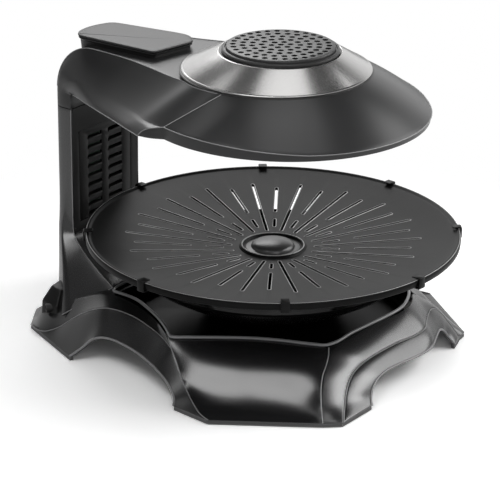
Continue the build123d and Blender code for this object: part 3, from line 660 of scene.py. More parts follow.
# Well and its trim: a gloss black tub that lines the opening in the deck, with a
# bright rolled bead on its rim, pressed over the edge.
BEAD_RADIUS = 1.5
BEAD_Z = 48.3
WELL_FLOOR_Z = 31.2
BEAD_FRONT = [
    (-65.5, -107.5), (-53, -110.5), (-31, -109.5), (-9, -111), (12, -112.8), (28, -113.8), (46, -113.5),
    (61, -109), (74, -103), (83, -97.5),
]
BEAD_SIDE = [(-136.5, 12.5), (-123, -5), (-105, -29), (-94, -45), (-82.5, -67), (-73, -91), (-66.8, -106)]
BEAD_SIDE_RIGHT = [(84.5, -96), (92, -82), (101, -62), (111, -36), (123, -8), (136, 12.5)]
BEAD_REAR = [(-87, 121), (-88.5, 93), (-99, 68), (-112, 44), (-124, 27), (-135, 14)]


def flat_curve(points, z, count):
    """A smooth level curve through plan points."""
    return smooth_line([(x, y, z) for x, y in points], count)


def opening_loop(z):
    """The opening's outline, once round, starting at the left rear."""
    mirrored_rear = [(-x, y) for x, y in BEAD_REAR[::-1]]
    loop = flat_curve(BEAD_REAR, z, 40) + flat_curve(BEAD_SIDE, z, 40)
    loop += flat_curve(BEAD_FRONT, z, 36) + flat_curve(BEAD_SIDE_RIGHT, z, 40)
    return loop + flat_curve(mirrored_rear, z, 40) + even_line([(84, 123, z), (-84, 123, z)], 20)


def soften_loop(loop, rounds=2):
    """Takes the sharpness out of a closed line's corners."""
    for _ in range(rounds):
        count = len(loop)
        loop = [(loop[k - 1] + loop[k] * 2 + loop[(k + 1) % count]) / 4 for k in range(count)]
    return loop


bead_loop = soften_loop(opening_loop(BEAD_Z))
bead_form = bmesh.new()
sweep_round(bead_form, bead_loop, BEAD_RADIUS, sides=12)
bead = finish_form("lip_bead", bead_form, smooth_angle=60)
bright_trim = satin_moulding("bright_trim", (0.24, 0.24, 0.245, 1), roughness=0.22, gloss=1.0)
hand_over(bead, "base", "trim_bright", bright_trim, "lip_trim")

WELL_WALL = 1.2
WELL_LEVELS = [
    (0.995, BEAD_Z + 0.6), (0.985, 46), (0.965, 34), (0.945, WELL_FLOOR_Z + 0.4), (0.92, WELL_FLOOR_Z),
    (0.5, WELL_FLOOR_Z),
]
well_form = bmesh.new()
well_loops = [[Vector((p.x * share, p.y * share, z)) for p in bead_loop] for share, z in WELL_LEVELS]
well_form.faces.new(loft(well_form, well_loops, ends=False)[-1])
bmesh.ops.triangulate(well_form, faces=[f for f in well_form.faces if len(f.verts) > 4])
well = finish_form("well_tub", well_form, recalculate=False)
give_wall(well, WELL_WALL, 0.0)
gloss_black = satin_moulding("gloss_black", grey(0.003), roughness=0.25, gloss=0.05, grain=0.0)
hand_over(well, "base", "well_gloss", gloss_black, "bowl_well")

# Drip bowl: a round pan of spun steel with black enamel. It stands loose in the well,
# catches the fat and carries the grill plate.
BOWL_WALL = 1.5
BOWL_OUTSIDE = [
    (0, 33.8), (52, 33.8), (58, 34.6), (62, 37.2), (72, 46), (80, 51.2), (88, 54.8), (104, 63),
    (120, 72.6), (131, 81),
]


def turn_profile(form, profile, segments, centre_y=0.0, closed=False, lean=0.0, lean_from=0.0):
    """Spins an outline of (radius, z) points round an axis, upright or leaning along Y."""
    rings = []
    for radius, z in profile:
        middle = centre_y + lean * (z - lean_from)
        if radius < 1e-6:
            rings.append([form.verts.new(place(0, middle, z))])
            continue
        ring = []
        for k in range(segments):
            turn = 2 * math.pi * k / segments
            ring.append(form.verts.new(place(radius * math.cos(turn), middle + radius * math.sin(turn), z)))
        rings.append(ring)
    pairs = list(zip(rings, rings[1:])) + ([(rings[-1], rings[0])] if closed else [])
    for low, high in pairs:
        for k in range(segments):
            other = (k + 1) % segments
            corners = [low[k % len(low)], low[other % len(low)]]
            corners += [high[other % len(high)], high[k % len(high)]]
            corners = [c for n, c in enumerate(corners) if c not in corners[:n]]
            if len(corners) > 2:
                form.faces.new(corners)


def wall_profile(outside, wall):
    """A closed outline for a thin turned wall, from its outer side."""
    inside = [(max(r - wall * 0.7, 0), z + wall) for r, z in outside[::-1]]
    return outside + inside


bowl_form = bmesh.new()
turn_profile(bowl_form, wall_profile(BOWL_OUTSIDE, BOWL_WALL), segments=96)
bowl = finish_form("drip_bowl_pan", bowl_form, smooth_angle=40)
bowl_enamel = satin_moulding("bowl_enamel", grey(0.004), roughness=0.2, gloss=0.14, grain=0.0)
hand_over(bowl, "drip_bowl", "bowl_enamel", bowl_enamel, "drip_bowl")

# Grill plate: a shallow cast dish with a rolled rim, a raised hub ring and a matt
# non-stick coating. It lies loose on the drip bowl, and the fat drips through radial
# slots with raised lips.
PLATE_RADIUS = 172.5
PLATE_SEGMENTS = 180
RIM_TOP_Z = 112.0
RIM_LOW_Z = 105.2
HUB_Z = 95.0
SLOT_COUNT = 18
SLOT_WIDTH = 2.6
LONG_SLOT = (38.0, 136.0)
SHORT_SLOTS = [(46.0, 62.0), (76.0, 128.0)]
SLOT_TOOL_Z = (70, 125)
LIP_STEPS = [(0.0, 0.0), (0.0, 0.32), (0.35, 0.36), (0.75, -0.05)]
# Painted highlight rings: radius and height of the light lines on the rim's top and on the hub ring.
HIGHLIGHT_RINGS = [(171.3, 111.3), (28.6, HUB_Z + 2.3)]
HIGHLIGHT_RING_RADIUS = 0.62
PLATE_WALL = 2.8
DISH_FROM = 31.0
DISH_RUN = 137.5
DISH_RISE = 15.0


def plate_height(radius):
    """Height of the plate's cooking surface at a distance from its middle."""
    return HUB_Z + (radius - DISH_FROM) / DISH_RUN * DISH_RISE


plate_section = [
    (26.5, HUB_Z + 0.2), (27.5, HUB_Z + 1.8), (28.6, HUB_Z + 2.5), (29.8, HUB_Z + 2.0), (31.2, HUB_Z + 0.3),
    (34, plate_height(34)), (100, plate_height(100)), (162, plate_height(162)),
    (166.5, plate_height(166.5) + 0.5), (168.3, 110.6), (169.4, 111.7), (170.8, RIM_TOP_Z), (172, 111.5),
    (PLATE_RADIUS, 110.4), (172.1, 106), (171.4, RIM_LOW_Z), (169.6, RIM_LOW_Z), (168.8, 106.6),
    (166, plate_height(166) - PLATE_WALL), (100, plate_height(100) - PLATE_WALL),
    (31, HUB_Z - PLATE_WALL), (4.2, HUB_Z - PLATE_WALL), (4.2, HUB_Z - 0.2),
]
plate_form = bmesh.new()
turn_profile(plate_form, plate_section, segments=PLATE_SEGMENTS, closed=True)
plate = finish_form("cooking_plate", plate_form, smooth_angle=50)


def slot_outline(inner, outer, half, ends=5):
    """A round-ended slot along +X, as plan points."""
    points = []
    for centre, start in ((outer - half, -90), (inner + half, 90)):
        for k in range(ends + 1):
            turn = math.radians(start + 180 * k / ends)
            points.append((centre + half * math.cos(turn), half * math.sin(turn)))
    return points


def slot_cutter(form, inner, outer, angle):
    """An upright prism through the plate where a slot goes."""
    spin = Matrix.Rotation(angle, 3, "Z")
    plan = slot_outline(inner, outer, SLOT_WIDTH / 2)
    loft(form, [[spin @ Vector((x, y, z)) for x, y in plan] for z in SLOT_TOOL_Z])


def cut_away(piece, tool, smooth_angle):
    """Cuts a tool's shape out of a piece and removes the tool."""
    cut = piece.modifiers.new("cut", "BOOLEAN")
    cut.object = tool
    cut.operation = "DIFFERENCE"
    cut.solver = "EXACT"
    apply_modifiers(piece, smooth_angle)
    bpy.data.objects.remove(tool)


SLOT_START = math.radians(-95.25)
long_angles = [SLOT_START + 2 * math.pi * k / SLOT_COUNT for k in range(SLOT_COUNT)]
short_angles = [a + math.pi / SLOT_COUNT for a in long_angles]
cut_form = bmesh.new()
for angle in long_angles:
    slot_cutter(cut_form, *LONG_SLOT, angle)
for angle in short_angles:
    for run in SHORT_SLOTS:
        slot_cutter(cut_form, *run, angle)
cut_away(plate, finish_form("slot_cutter", cut_form), 50)


def about_origin(x, y, z):
    """A point in metres, for a small piece that is copied round the plate's axis."""
    return Vector((x, y, z)) / 1000


def slot_lip(name, inner, outer):
    """The raised lip round one slot, lying along +X on the plate's slope."""
    form = bmesh.new()
    loops = []
    for out, rise in LIP_STEPS:
        plan = slot_outline(inner - out, outer + out, SLOT_WIDTH / 2 + out)
        loops.append([(x, y, plate_height(x) + rise) for x, y in plan])
    loft(form, loops, ends=False, spot=about_origin)
    return form_object(name, form)


def new_group(name, *inputs):
    """A Geometry Nodes group: its tree, input node, output node and sockets by label."""
    tree = bpy.data.node_groups.new(name, "GeometryNodeTree")
    tree.interface.new_socket("Geometry", in_out="OUTPUT", socket_type="NodeSocketGeometry")
    sockets = {}
    for label, kind in inputs:
        sockets[label] = tree.interface.new_socket(label, in_out="INPUT", socket_type=kind).identifier
    return tree, tree.nodes.new("NodeGroupInput"), tree.nodes.new("NodeGroupOutput"), sockets


def run_group(name, tree, sockets, values, smooth_angle=30.0):
    """Makes an object from a Geometry Nodes group, with a value for each socket."""
    holder = new_object(name, bpy.data.meshes.new(name))
    maker = holder.modifiers.new("copies", "NODES")
    maker.node_group = tree
    for label, value in values.items():
        maker[sockets[label]] = value
    apply_modifiers(holder, smooth_angle)
    return holder


def ring_of_pieces(name, pieces, count, start, material):
    """Geometry Nodes: copies of small pieces at even turns round the plate's axis."""
    tree, given, result, sockets = new_group(
        name, ("Count", "NodeSocketInt"), ("First turn", "NodeSocketFloat"), ("Axis", "NodeSocketVector"))
    points = add_node(tree, "GeometryNodePoints")
    index = add_node(tree, "GeometryNodeInputIndex")
    share = calc_node(tree, "ShaderNodeMath", "DIVIDE")
    turn = calc_node(tree, "ShaderNodeMath", "MULTIPLY_ADD", (1, 2 * math.pi))
    spin = add_node(tree, "ShaderNodeCombineXYZ")
    joined = add_node(tree, "GeometryNodeJoinGeometry")
    for piece in pieces:
        info = add_node(tree, "GeometryNodeObjectInfo", Object=piece)
        link_nodes(tree, (info, "Geometry", joined, 0))
    copies = add_node(tree, "GeometryNodeInstanceOnPoints")
    real = add_node(tree, "GeometryNodeRealizeInstances")
    coat = add_node(tree, "GeometryNodeSetMaterial", Material=material)
    link_nodes(tree, (given, "Count", points, "Count"), (given, "Axis", points, "Position"),
               (index, 0, share, 0), (given, "Count", share, 1), (share, 0, turn, 0),
               (given, "First turn", turn, 2), (turn, 0, spin, "Z"), (points, 0, copies, "Points"),
               (joined, 0, copies, "Instance"), (spin, 0, copies, "Rotation"), (copies, 0, real, 0),
               (real, 0, coat, 0), (coat, 0, result, 0))
    values = {"Count": count, "First turn": start, "Axis": (0.0, AXIS_Y / 1000, 0.0)}
    holder = run_group(name, tree, sockets, values, 40)
    for piece in pieces:
        bpy.data.objects.remove(piece)
    return holder


def cast_coating(name, colour, roughness):
    """Matt non-stick coating: fine pebbled surface, slightly uneven sheen."""
    material, tree, shader, where = new_finish(name, IOR=1.32, Specular_IOR_Level=0.2)
    cloud = add_node(tree, "ShaderNodeTexNoise", Scale=14.0, Detail=5.0)
    pebble = add_node(tree, "ShaderNodeTexVoronoi", Scale=900.0)
    link_nodes(tree, (where, "Object", cloud, "Vector"), (where, "Object", pebble, "Vector"))
    vary_colour(tree, shader, cloud, colour, 0.15)
    vary_surface(tree, shader, cloud, roughness - 0.04, roughness + 0.04, pebble, "Distance", 0.12)
    return material


plate_black = cast_coating("plate_coating", grey(0.006), roughness=0.36)
# Painted highlight: a light grey for the slot lips and the fine rings on the rim and hub ring, which paints
# their highlights on the dark coating.
painted_highlight_grey = satin_moulding("lip_painted_highlight", grey(0.30), roughness=0.28, gloss=1.0)
long_lip = slot_lip("long_lip", *LONG_SLOT)
long_lips = ring_of_pieces("long_slot_lips", [long_lip], SLOT_COUNT, SLOT_START, painted_highlight_grey)
pair = [slot_lip("short_lip_%d" % n, *run) for n, run in enumerate(SHORT_SLOTS)]
short_lips = ring_of_pieces("short_slot_lips", pair, SLOT_COUNT, short_angles[0], painted_highlight_grey)
hand_over(plate, "plate", "plate_coating", plate_black, "grill_plate")
hand_over(long_lips, "plate", "plate_coating", painted_highlight_grey)
hand_over(short_lips, "plate", "plate_coating", painted_highlight_grey)

# Fine light grey rings on the rim's top and the hub ring, as painted highlight lines.
rim_form = bmesh.new()
around = [2 * math.pi * k / PLATE_SEGMENTS for k in range(PLATE_SEGMENTS)]
for radius, height in HIGHLIGHT_RINGS:
    loop = [Vector((radius * math.cos(a), radius * math.sin(a), height)) for a in around]
    sweep_round(rim_form, loop, HIGHLIGHT_RING_RADIUS, sides=8)
rim_line = finish_form("rim_polish_line", rim_form, smooth_angle=60)
hand_over(rim_line, "plate", "plate_coating", painted_highlight_grey)

# Hub cap: a domed cap of satin black metal. A nut under the plate holds it in the hub
# ring, in the plate's middle.
DOME_RADIUS = 19
DOME_HEIGHT = 4.2
DOME_FOOT_Z = HUB_Z + 2.6
dome_form = bmesh.new()
dome = [
    (25.8, HUB_Z - 0.1), (23.5, HUB_Z + 0.5), (21.5, HUB_Z + 0.3), (20.2, HUB_Z + 0.6), (19.6, HUB_Z + 2.2),
]
for turn in [math.radians(a) for a in range(8, 90, 9)]:
    dome.append((DOME_RADIUS * math.cos(turn), DOME_FOOT_Z + DOME_HEIGHT * math.sin(turn)))
dome.append((0, DOME_FOOT_Z + DOME_HEIGHT))
turn_profile(dome_form, dome, segments=72)
hub_cap = finish_form("hub_cap", dome_form, smooth_angle=50)
cap_black = satin_moulding("hub_cap_satin", grey(0.03), roughness=0.3, gloss=0.8)
hand_over(hub_cap, "plate", "plate_coating", cap_black, "plate_centre_cap")

# Rim clips: eight small clips of pressed, blackened steel strip, folded round the
# plate's rim and gripping it from above and below.
CLIP_HALF = 4.0
CLIP_COUNT = 8
CLIP_FOLD = [
    (165.5, 112.5), (165.5, 113.6), (173.6, 113.6), (174.4, 112.8), (174.4, 103.9), (173.7, 103.1),
    (168.5, 103.1), (168.5, 104.2), (173.0, 104.2), (173.0, 112.5),
]


def rim_clip():
    """One clip at +X, as a folded strip with soft edges."""
    form = bmesh.new()
    loft(form, [[(x, y, z) for x, z in CLIP_FOLD] for y in (-CLIP_HALF, CLIP_HALF)], spot=about_origin)
    bmesh.ops.recalc_face_normals(form, faces=form.faces)
    bmesh.ops.bevel(form, geom=form.edges, offset=0.0003, segments=1, affect="EDGES", clamp_overlap=True)
    return form_object("rim_clip", form)


clip_steel = satin_moulding("clip_steel", grey(0.004), roughness=0.4, gloss=0.2)
clips = ring_of_pieces("rim_clip_set", [rim_clip()], CLIP_COUNT, SLOT_START, clip_steel)
hand_over(clips, "plate", "clip_steel", clip_steel, "rim_clips")

# Column shell: a flat hollow column, round at the rear, that flares into a wide foot;
# the same graphite moulding as the base, screwed to it from below.
COLUMN_WALL = 2.4
COLUMN_HALF = 49
COLUMN_FRONT_Y = 201
COLUMN_TOP_Z = 198.6
COLUMN_ROWS = 52
FLARE_Z = 128.0
FLARE_POWER = 2.4
COLUMN_FRONT_CORNER = [
    (-49, 201, 198.6), (-49, 201, 150), (-49, 201, 105), (-49.5, 200.5, 86), (-51.5, 198, 76),
    (-56, 187, 67), (-63, 169, 59), (-71, 148, 52), (-79, 127, 46.8),
]
COLUMN_REAR_CORNER = [
    (-43, 222.3, 198.6), (-43, 222.3, 140), (-43, 222.3, 90), (-44, 222.3, 60), (-46, 221, 30),
    (-52, 217, 5),
]
COLUMN_SIDE_TOP = [
    (-49, 201, 198.6), (-48.7, 209, 198.6), (-47.6, 215.5, 198.6), (-45.6, 220, 198.6), (-43, 222.3, 198.6),
]
COLUMN_FOOT_EDGE = [(-79, 127, 46.8), (-90.3, 138.3, 38.6), (-101.6, 149.6, 30.2), (-113, 161, 21.8)]
COLUMN_FOOT_REAR = [(-113, 161, 21.5), (-100, 176, 16.5), (-78, 197, 10), (-52, 217, 5)]
VENT_FRAME_HALF = 38.4
VENT_FRAME_LOW = 83.6
VENT_FRAME_HIGH = 174.4


def flared_panel(top, low, start, end):
    """Like panel_between, but it only bows out to the lower edge below the flare's height."""
    grid = panel_between(top, low, start, end)
    rows, columns = len(start) - 1, len(top) - 1
    for j, line in enumerate(grid):
        v = j / rows
        height = (start[j].z + end[j].z) / 2
        foot = (start[-1].z + end[-1].z) / 2
        late = max(0.0, (FLARE_Z - height) / (FLARE_Z - foot)) ** FLARE_POWER
        for i in range(columns + 1):
            u = i / columns
            bow = low[i] - (low[0] * (1 - u) + low[-1] * u)
            round_top = top[i] - (top[0] * (1 - u) + top[-1] * u)
            line[i] = line[i] + bow * (late - v) + round_top * (v - late)
    return grid


column_form = bmesh.new()
front_line = smooth_line(COLUMN_FRONT_CORNER, COLUMN_ROWS)
rear_line = smooth_line(COLUMN_REAR_CORNER, COLUMN_ROWS)
side_top = smooth_line(COLUMN_SIDE_TOP, 22)
side_low = even_line(smooth_line(COLUMN_FOOT_EDGE, 30) + smooth_line(COLUMN_FOOT_REAR, 30)[1:], 22)
add_grid(column_form, flared_panel(side_top, side_low, front_line, rear_line), True)
add_grid(column_form, to_the_middle(rear_line, 6), True)
face_heights = (COLUMN_TOP_Z, 190, VENT_FRAME_HIGH, 150, 120, VENT_FRAME_LOW + 8)
face_line = [Vector((-COLUMN_HALF, COLUMN_FRONT_Y, z)) for z in face_heights]
face_line += [p for p in front_line if p.z < VENT_FRAME_LOW + 7]
frame_share = VENT_FRAME_HALF / COLUMN_HALF
across = [-1.0, -0.93, -0.86, -frame_share, -0.4, 0.0]
for high, low in zip(face_line, face_line[1:]):
    beside = high.z < VENT_FRAME_HIGH + 0.1 and low.z > VENT_FRAME_LOW - 3
    for c0, c1 in zip(across, across[1:]):
        if beside and c0 > -frame_share - 0.001:
            continue
        for side in (1, -1):
            corners = [(-high.x * c0, high.y, high.z), (-high.x * c1, high.y, high.z),
                       (-low.x * c1, low.y, low.z), (-low.x * c0, low.y, low.z)]
            column_form.faces.new([column_form.verts.new(place(x * side, y, z)) for x, y, z in corners])
column = finish_form("column_skin", column_form, weld=0.3, smooth_angle=28)
give_wall(column, COLUMN_WALL)
round_edges(column, width=0.8, angle=30, finishes=(graphite, painted_edge_highlight))
# Painted shade: this black darkens the column's front faces and the head's downward faces, standing in for
# their shade; on the rear cover it is the cover's own black.
black_and_painted_shade = satin_moulding("column_black_and_painted_shade", grey(0.006), roughness=0.4, gloss=0.3)


def coat_faces(piece, finish, chosen):
    """Gives a third finish to the faces that a test picks by middle and normal; here it paints shade on
    faces turned away from the light.
    """
    piece.data.materials.append(finish)
    for face in piece.data.polygons:
        if face.material_index == 0 and chosen(face.center * 1000, face.normal):
            face.material_index = 2


# Painted shade: the column's front faces get the black finish.
coat_faces(column, black_and_painted_shade, lambda at, way: way.y < -0.9 and abs(at.x) < COLUMN_HALF)
hand_over(column, "base", "body_moulding", graphite, "column_shell")
# Painted highlight lines along the column's front corners and foot edges.
edge_beads("column_edge_beads", [(front_line, True), (smooth_line(COLUMN_FOOT_EDGE, 30), True)], "base")

# Rear cover: a flat plate of black moulding with rounded corners, screwed on the
# column's back to close the opening to the boards.
REAR_COVER_HALF = 32.4
REAR_COVER_Z = (84.6, 187.4)


def rounded_plate(form, x0, x1, z0, z1, corner, y0, y1, steps=4):
    """A flat plate with rounded corners that faces the front."""
    outline = []
    for cx, cz, start in ((x1 - corner, z1 - corner, 0), (x0 + corner, z1 - corner, 90),
                          (x0 + corner, z0 + corner, 180), (x1 - corner, z0 + corner, 270)):
        for k in range(steps + 1):
            turn = math.radians(start + 90 * k / steps)
            outline.append((cx + corner * math.cos(turn), cz + corner * math.sin(turn)))
    loft(form, [[(x, y, z) for x, z in outline] for y in (y0, y1)])


cover_form = bmesh.new()
rounded_plate(cover_form, -REAR_COVER_HALF, REAR_COVER_HALF, *REAR_COVER_Z, 4.0, 220.4, 223.4)
rear_cover = finish_form("rear_cover_plate", cover_form)
# Its rounded edges get the lighter grey of a painted edge highlight.
round_edges(rear_cover, width=0.6, finishes=(black_and_painted_shade, painted_edge_highlight))
hand_over(rear_cover, "base", "body_moulding", black_and_painted_shade, "column_rear_cover")

# Vent panel: a flat insert of black moulding in the column's front, with two columns of
# nine slots for the boards' cooling air, each with a small lip along its lower edge.
VENT_GAP = 0.3
VENT_ROWS = 9
VENT_PITCH = 9.7
VENT_TOP_ROW_Z = 165.0
VENT_SLOT = (5.0, 25.0)
VENT_SLOT_HALF = 2.2


def vent_rows(form, inset, low, high, corner, y0, y1):
    """A small plate at every slot, with its own height about the slot's middle."""
    for row in range(VENT_ROWS):
        z = VENT_TOP_ROW_Z - row * VENT_PITCH
        for side in (-1, 1):
            x0, x1 = sorted((side * (VENT_SLOT[0] + inset), side * (VENT_SLOT[1] - inset)))
            rounded_plate(form, x0, x1, z + low, z + high, corner, y0, y1)


vent_form = bmesh.new()
vent_half = VENT_FRAME_HALF - VENT_GAP
vent_heights = (VENT_FRAME_LOW + VENT_GAP, VENT_FRAME_HIGH - VENT_GAP)
rounded_plate(vent_form, -vent_half, vent_half, *vent_heights, 3.0, 201.2, 203.0)
vent = finish_form("vent_plate", vent_form)
slots_form = bmesh.new()
vent_rows(slots_form, 0, -VENT_SLOT_HALF, VENT_SLOT_HALF, 1.6, 198, 205)
cut_away(vent, finish_form("vent_cutter", slots_form), 30)
round_edges(vent, width=0.35, segments=2)
lips_form = bmesh.new()
vent_rows(lips_form, 0.3, -VENT_SLOT_HALF - 0.5, -VENT_SLOT_HALF + 1.1, 0.5, 200.6, 206)
lips = finish_form("vent_louvre_lips", lips_form)
round_edges(lips, width=0.3, segments=2)
vent_black = satin_moulding("vent_black", grey(0.006), roughness=0.42, gloss=0.3)
hand_over(vent, "base", "inner_plastic", vent_black, "vent_panel")
hand_over(lips, "base", "body_moulding", vent_black)

# Head shell: one graphite moulding that makes the arm and the round lamp head. The
# arm's sides sweep out to a leaf-shaped tip where they meet the head's skirt.
HEAD_WALL = 2.0
RING_CENTRE_Y = -2.0
HEAD_CENTRE_Y = -12.0
HEAD_RADIUS = 131.0
SKIRT_LOW_Z = 227.2
CONE_TOP = (84.6, 267.2)
CONE_ROWS = 16
CONE_BULGE = 1.6
HEAD_TURNS = 60
UNDER_RADIUS = 123.0
UNDER_Z = SKIRT_LOW_Z + 1.2
UNDER_TURN = 118.0
CREASE_TOP_TURN = 86.0
CREASE_LOW_TURN = 108.0
SKIRT_HEIGHTS = [(0, 4.8), (30, 4.8), (45, 5.4), (60, 7.6), (75, 9.6), (90, 10.9), (103, 11.3), (125, 11.3)]
LEAF_TIP = (-133, 51, 228.2)
ARM_TOP_EDGE = [
    (-87.8, -5, 265.7), (-86.4, 14, 265.2), (-82.0, 31, 264.4), (-72, 48, 262.9), (-63, 72, 261.2),
    (-52, 105, 260.4), (-43.5, 138, 260), (-40.5, 165, 260), (-40, 184, 260),
]
ARM_REAR_EDGE_X = (-40.0, -43.0)
ARM_REAR_CENTRE = (182.0, 217.0)
ARM_REAR_ROUND = (40.3, 43.0)
ARM_UNDER_EDGE = [
    (-133, 51, 228.2), (-119, 76, 225.9), (-103, 103, 223), (-88, 130, 220.5), (-70, 163, 217.9),
    (-51.5, 196, 215), (-49, 200.8, 213.6), (-49, 201, 206), (-49, 201, 199.4),
]


def turned_point(turn, radius, centre_y, z):
    """A point at a turn from the front, positive to the left."""
    a = math.radians(turn)
    return Vector((-radius * math.sin(a), centre_y - radius * math.cos(a), z))


def arc(start, end, steps, radius, centre_y, z):
    """Points along part of a level circle, from one turn to another."""
    turns = [start + (end - start) * k / steps for k in range(steps + 1)]
    return [turned_point(turn, radius, centre_y, z) for turn in turns]


def skirt_top(turn):
    """Height of the skirt's upper edge at a turn from the front."""
    return SKIRT_LOW_Z + interpolate(SKIRT_HEIGHTS, abs(turn))


def interpolate(table, x):
    """A value read off straight lines through (x, value) pairs."""
    if x <= table[0][0]:
        return table[0][1]
    for (x0, y0), (x1, y1) in zip(table, table[1:]):
        if x <= x1:
            return y0 + (y1 - y0) * (x - x0) / (x1 - x0)
    return table[-1][1]


head_form = bmesh.new()
cone_top = arc(0, CREASE_TOP_TURN, HEAD_TURNS, CONE_TOP[0], RING_CENTRE_Y, CONE_TOP[1])
cone_low = []
for turn in [CREASE_LOW_TURN * k / HEAD_TURNS for k in range(HEAD_TURNS + 1)]:
    cone_low.append(turned_point(turn, HEAD_RADIUS, HEAD_CENTRE_Y, skirt_top(turn)))
cone = []
for row in range(CONE_ROWS + 1):
    t = row / CONE_ROWS
    bulge = Vector((0, 0, CONE_BULGE * math.sin(math.pi * t)))
    cone.append([a.lerp(b, t) + bulge * min(1, (HEAD_TURNS - k) / 12)
                 for k, (a, b) in enumerate(zip(cone_top, cone_low))])
add_grid(head_form, cone, True)
leaf_top = smooth_line([cone_low[-1], (-129.2, 40, skirt_top(110) - 2.2), (-131.8, 47, 233), LEAF_TIP], 12)
skirt_line = cone_low + leaf_top[1:]
skirt_base = arc(0, CREASE_LOW_TURN, HEAD_TURNS, HEAD_RADIUS - 0.8, HEAD_CENTRE_Y, SKIRT_LOW_Z)
skirt_base += smooth_line([skirt_base[-1], (-129.6, 40, 227.4), LEAF_TIP], 12)[1:]
add_grid(head_form, ruled(skirt_line, skirt_base, 4), True)
under_cover = arc(0, CREASE_LOW_TURN, HEAD_TURNS, UNDER_RADIUS, HEAD_CENTRE_Y, UNDER_Z)
under_cover += arc(CREASE_LOW_TURN, UNDER_TURN, 12, UNDER_RADIUS, HEAD_CENTRE_Y, UNDER_Z)[1:]
add_grid(head_form, ruled(skirt_base, under_cover, 2), True)
rear_arc = []
for share in [k / 14 for k in range(1, 15)]:
    a = math.radians(90 - 90 * share)
    x = ARM_REAR_EDGE_X[0] + (ARM_REAR_EDGE_X[1] - ARM_REAR_EDGE_X[0]) * share
    y = ARM_REAR_CENTRE[0] + ARM_REAR_ROUND[0] * math.cos(a)
    rear_arc.append(Vector((x, y, ARM_REAR_CENTRE[1] + ARM_REAR_ROUND[1] * math.sin(a))))
arm_top = smooth_line(ARM_TOP_EDGE, 40) + rear_arc + [Vector((-43, 222.3, 199.4))]
arm_top[0] = cone_top[-1].copy()
arm_under = smooth_line(ARM_UNDER_EDGE, len(arm_top) - 1)
arm_front = [line[-1].copy() for line in cone] + leaf_top[1:]
arm_back = smooth_line([(x, y, 199.4) for x, y, _ in COLUMN_SIDE_TOP[::-1]], len(arm_front) - 1)
arm_columns = len(arm_top) - 1
arm_top_even = even_line(arm_top, arm_columns)
arm_under_even = even_line(arm_under, arm_columns)
add_grid(head_form, panel_between(arm_top_even, arm_under_even, arm_front, arm_back), True)
add_grid(head_form, to_the_middle(arm_top_even, 8), True)
under_inner = []
for k, p in enumerate(arm_under_even):
    t = k / arm_columns
    turn = UNDER_TURN + (180 - UNDER_TURN) * min(1, t / 0.55)
    ring_point = turned_point(turn, UNDER_RADIUS, HEAD_CENTRE_Y, UNDER_Z)
    straight = Vector((0, max(p.y, HEAD_CENTRE_Y + UNDER_RADIUS), min(p.z, UNDER_Z)))
    under_inner.append(ring_point if t < 0.55 else straight)
add_grid(head_form, ruled(arm_under_even, under_inner, 8), True)
head = finish_form("head_skin", head_form, weld=0.3, smooth_angle=24)
give_wall(head, HEAD_WALL)
head_graphite = satin_moulding("head_graphite", GRAPHITE, roughness=0.3, gloss=0.62)
round_edges(head, width=0.75, angle=19, finishes=(head_graphite, painted_edge_highlight))
# Painted shade: the head's downward faces get the black finish.
coat_faces(head, black_and_painted_shade, lambda at, way: way.z < -0.5)
hand_over(head, "head", "body_moulding", head_graphite, "head_shell")
# Painted highlight lines along the arm's and skirt's edges.
edge_beads("head_edge_beads", [
    (arm_top[:-1], True), ([line[-1] for line in cone], True), (skirt_line, True), (arm_under[:-6], True),
], "head", 0.5)

# Control housing and touch panel: a flat pod of satin black moulding on the arm, with
# a bare touch panel glued on its top.
POD_LEVELS = [(4.5, 236.0), (3.0, 256.0), (2.2, 263.0), (0.6, 264.2), (0.6, 265.2), (1.8, 265.6)]
PANEL_LEVELS = [
    (2.6, 265.0), (1.2, 265.9), (0.1, 266.3), (0.1, 267.0), (0.4, 267.7), (1.3, 268.0), (6.0, 268.0),
]
POD_OUTLINE = [
    (-31.5, 114.5, 5), (18, 107, 6), (31.5, 121, 9), (30, 140, 8), (19.5, 207.5, 9), (-5, 215, 11),
    (-26.5, 211.5, 8), (-33.5, 202, 5),
]


def rounded_outline(corners, steps=6):
    """A closed plan outline with its corners rounded by their own radius."""
    out = []
    for k, (x, y, r) in enumerate(corners):
        here = Vector((x, y, 0))
        before = (Vector((*corners[k - 1][:2], 0)) - here).normalized()
        after = (Vector((*corners[(k + 1) % len(corners)][:2], 0)) - here).normalized()
        for step in range(steps + 1):
            t = step / steps
            out.append(here + before * r * (1 - t) ** 2 + after * r * t * t)
    return out


def stack_outline(form, outline, levels):
    """Stacks (inset, z) copies of a plan outline into a closed solid."""
    middle = sum(outline, Vector()) / len(outline)
    loops = []
    for inset, z in levels:
        ats = [middle + (p - middle) * (1 - inset / (p - middle).length) for p in outline]
        loops.append([(at.x, at.y, z) for at in ats])
    loft(form, loops)


pod_plan = rounded_outline(POD_OUTLINE)
pod_form = bmesh.new()
stack_outline(pod_form, pod_plan, POD_LEVELS)
pod = finish_form("control_housing_skin", pod_form, smooth_angle=30)
round_edges(pod, width=0.3, segments=2)
panel_plate = bmesh.new()
stack_outline(panel_plate, pod_plan, PANEL_LEVELS)
panel = finish_form("touch_panel", panel_plate, smooth_angle=30)
pod_satin = satin_moulding("pod_satin", grey(0.008), roughness=0.34, gloss=0.6)
panel_satin = satin_moulding("touch_panel_satin", (0.018, 0.018, 0.0185, 1), roughness=0.42, gloss=0.5)
hand_over(pod, "head", "pod_moulding", pod_satin, "control_housing")
hand_over(panel, "head", "touch_panel", panel_satin, "control_panel")

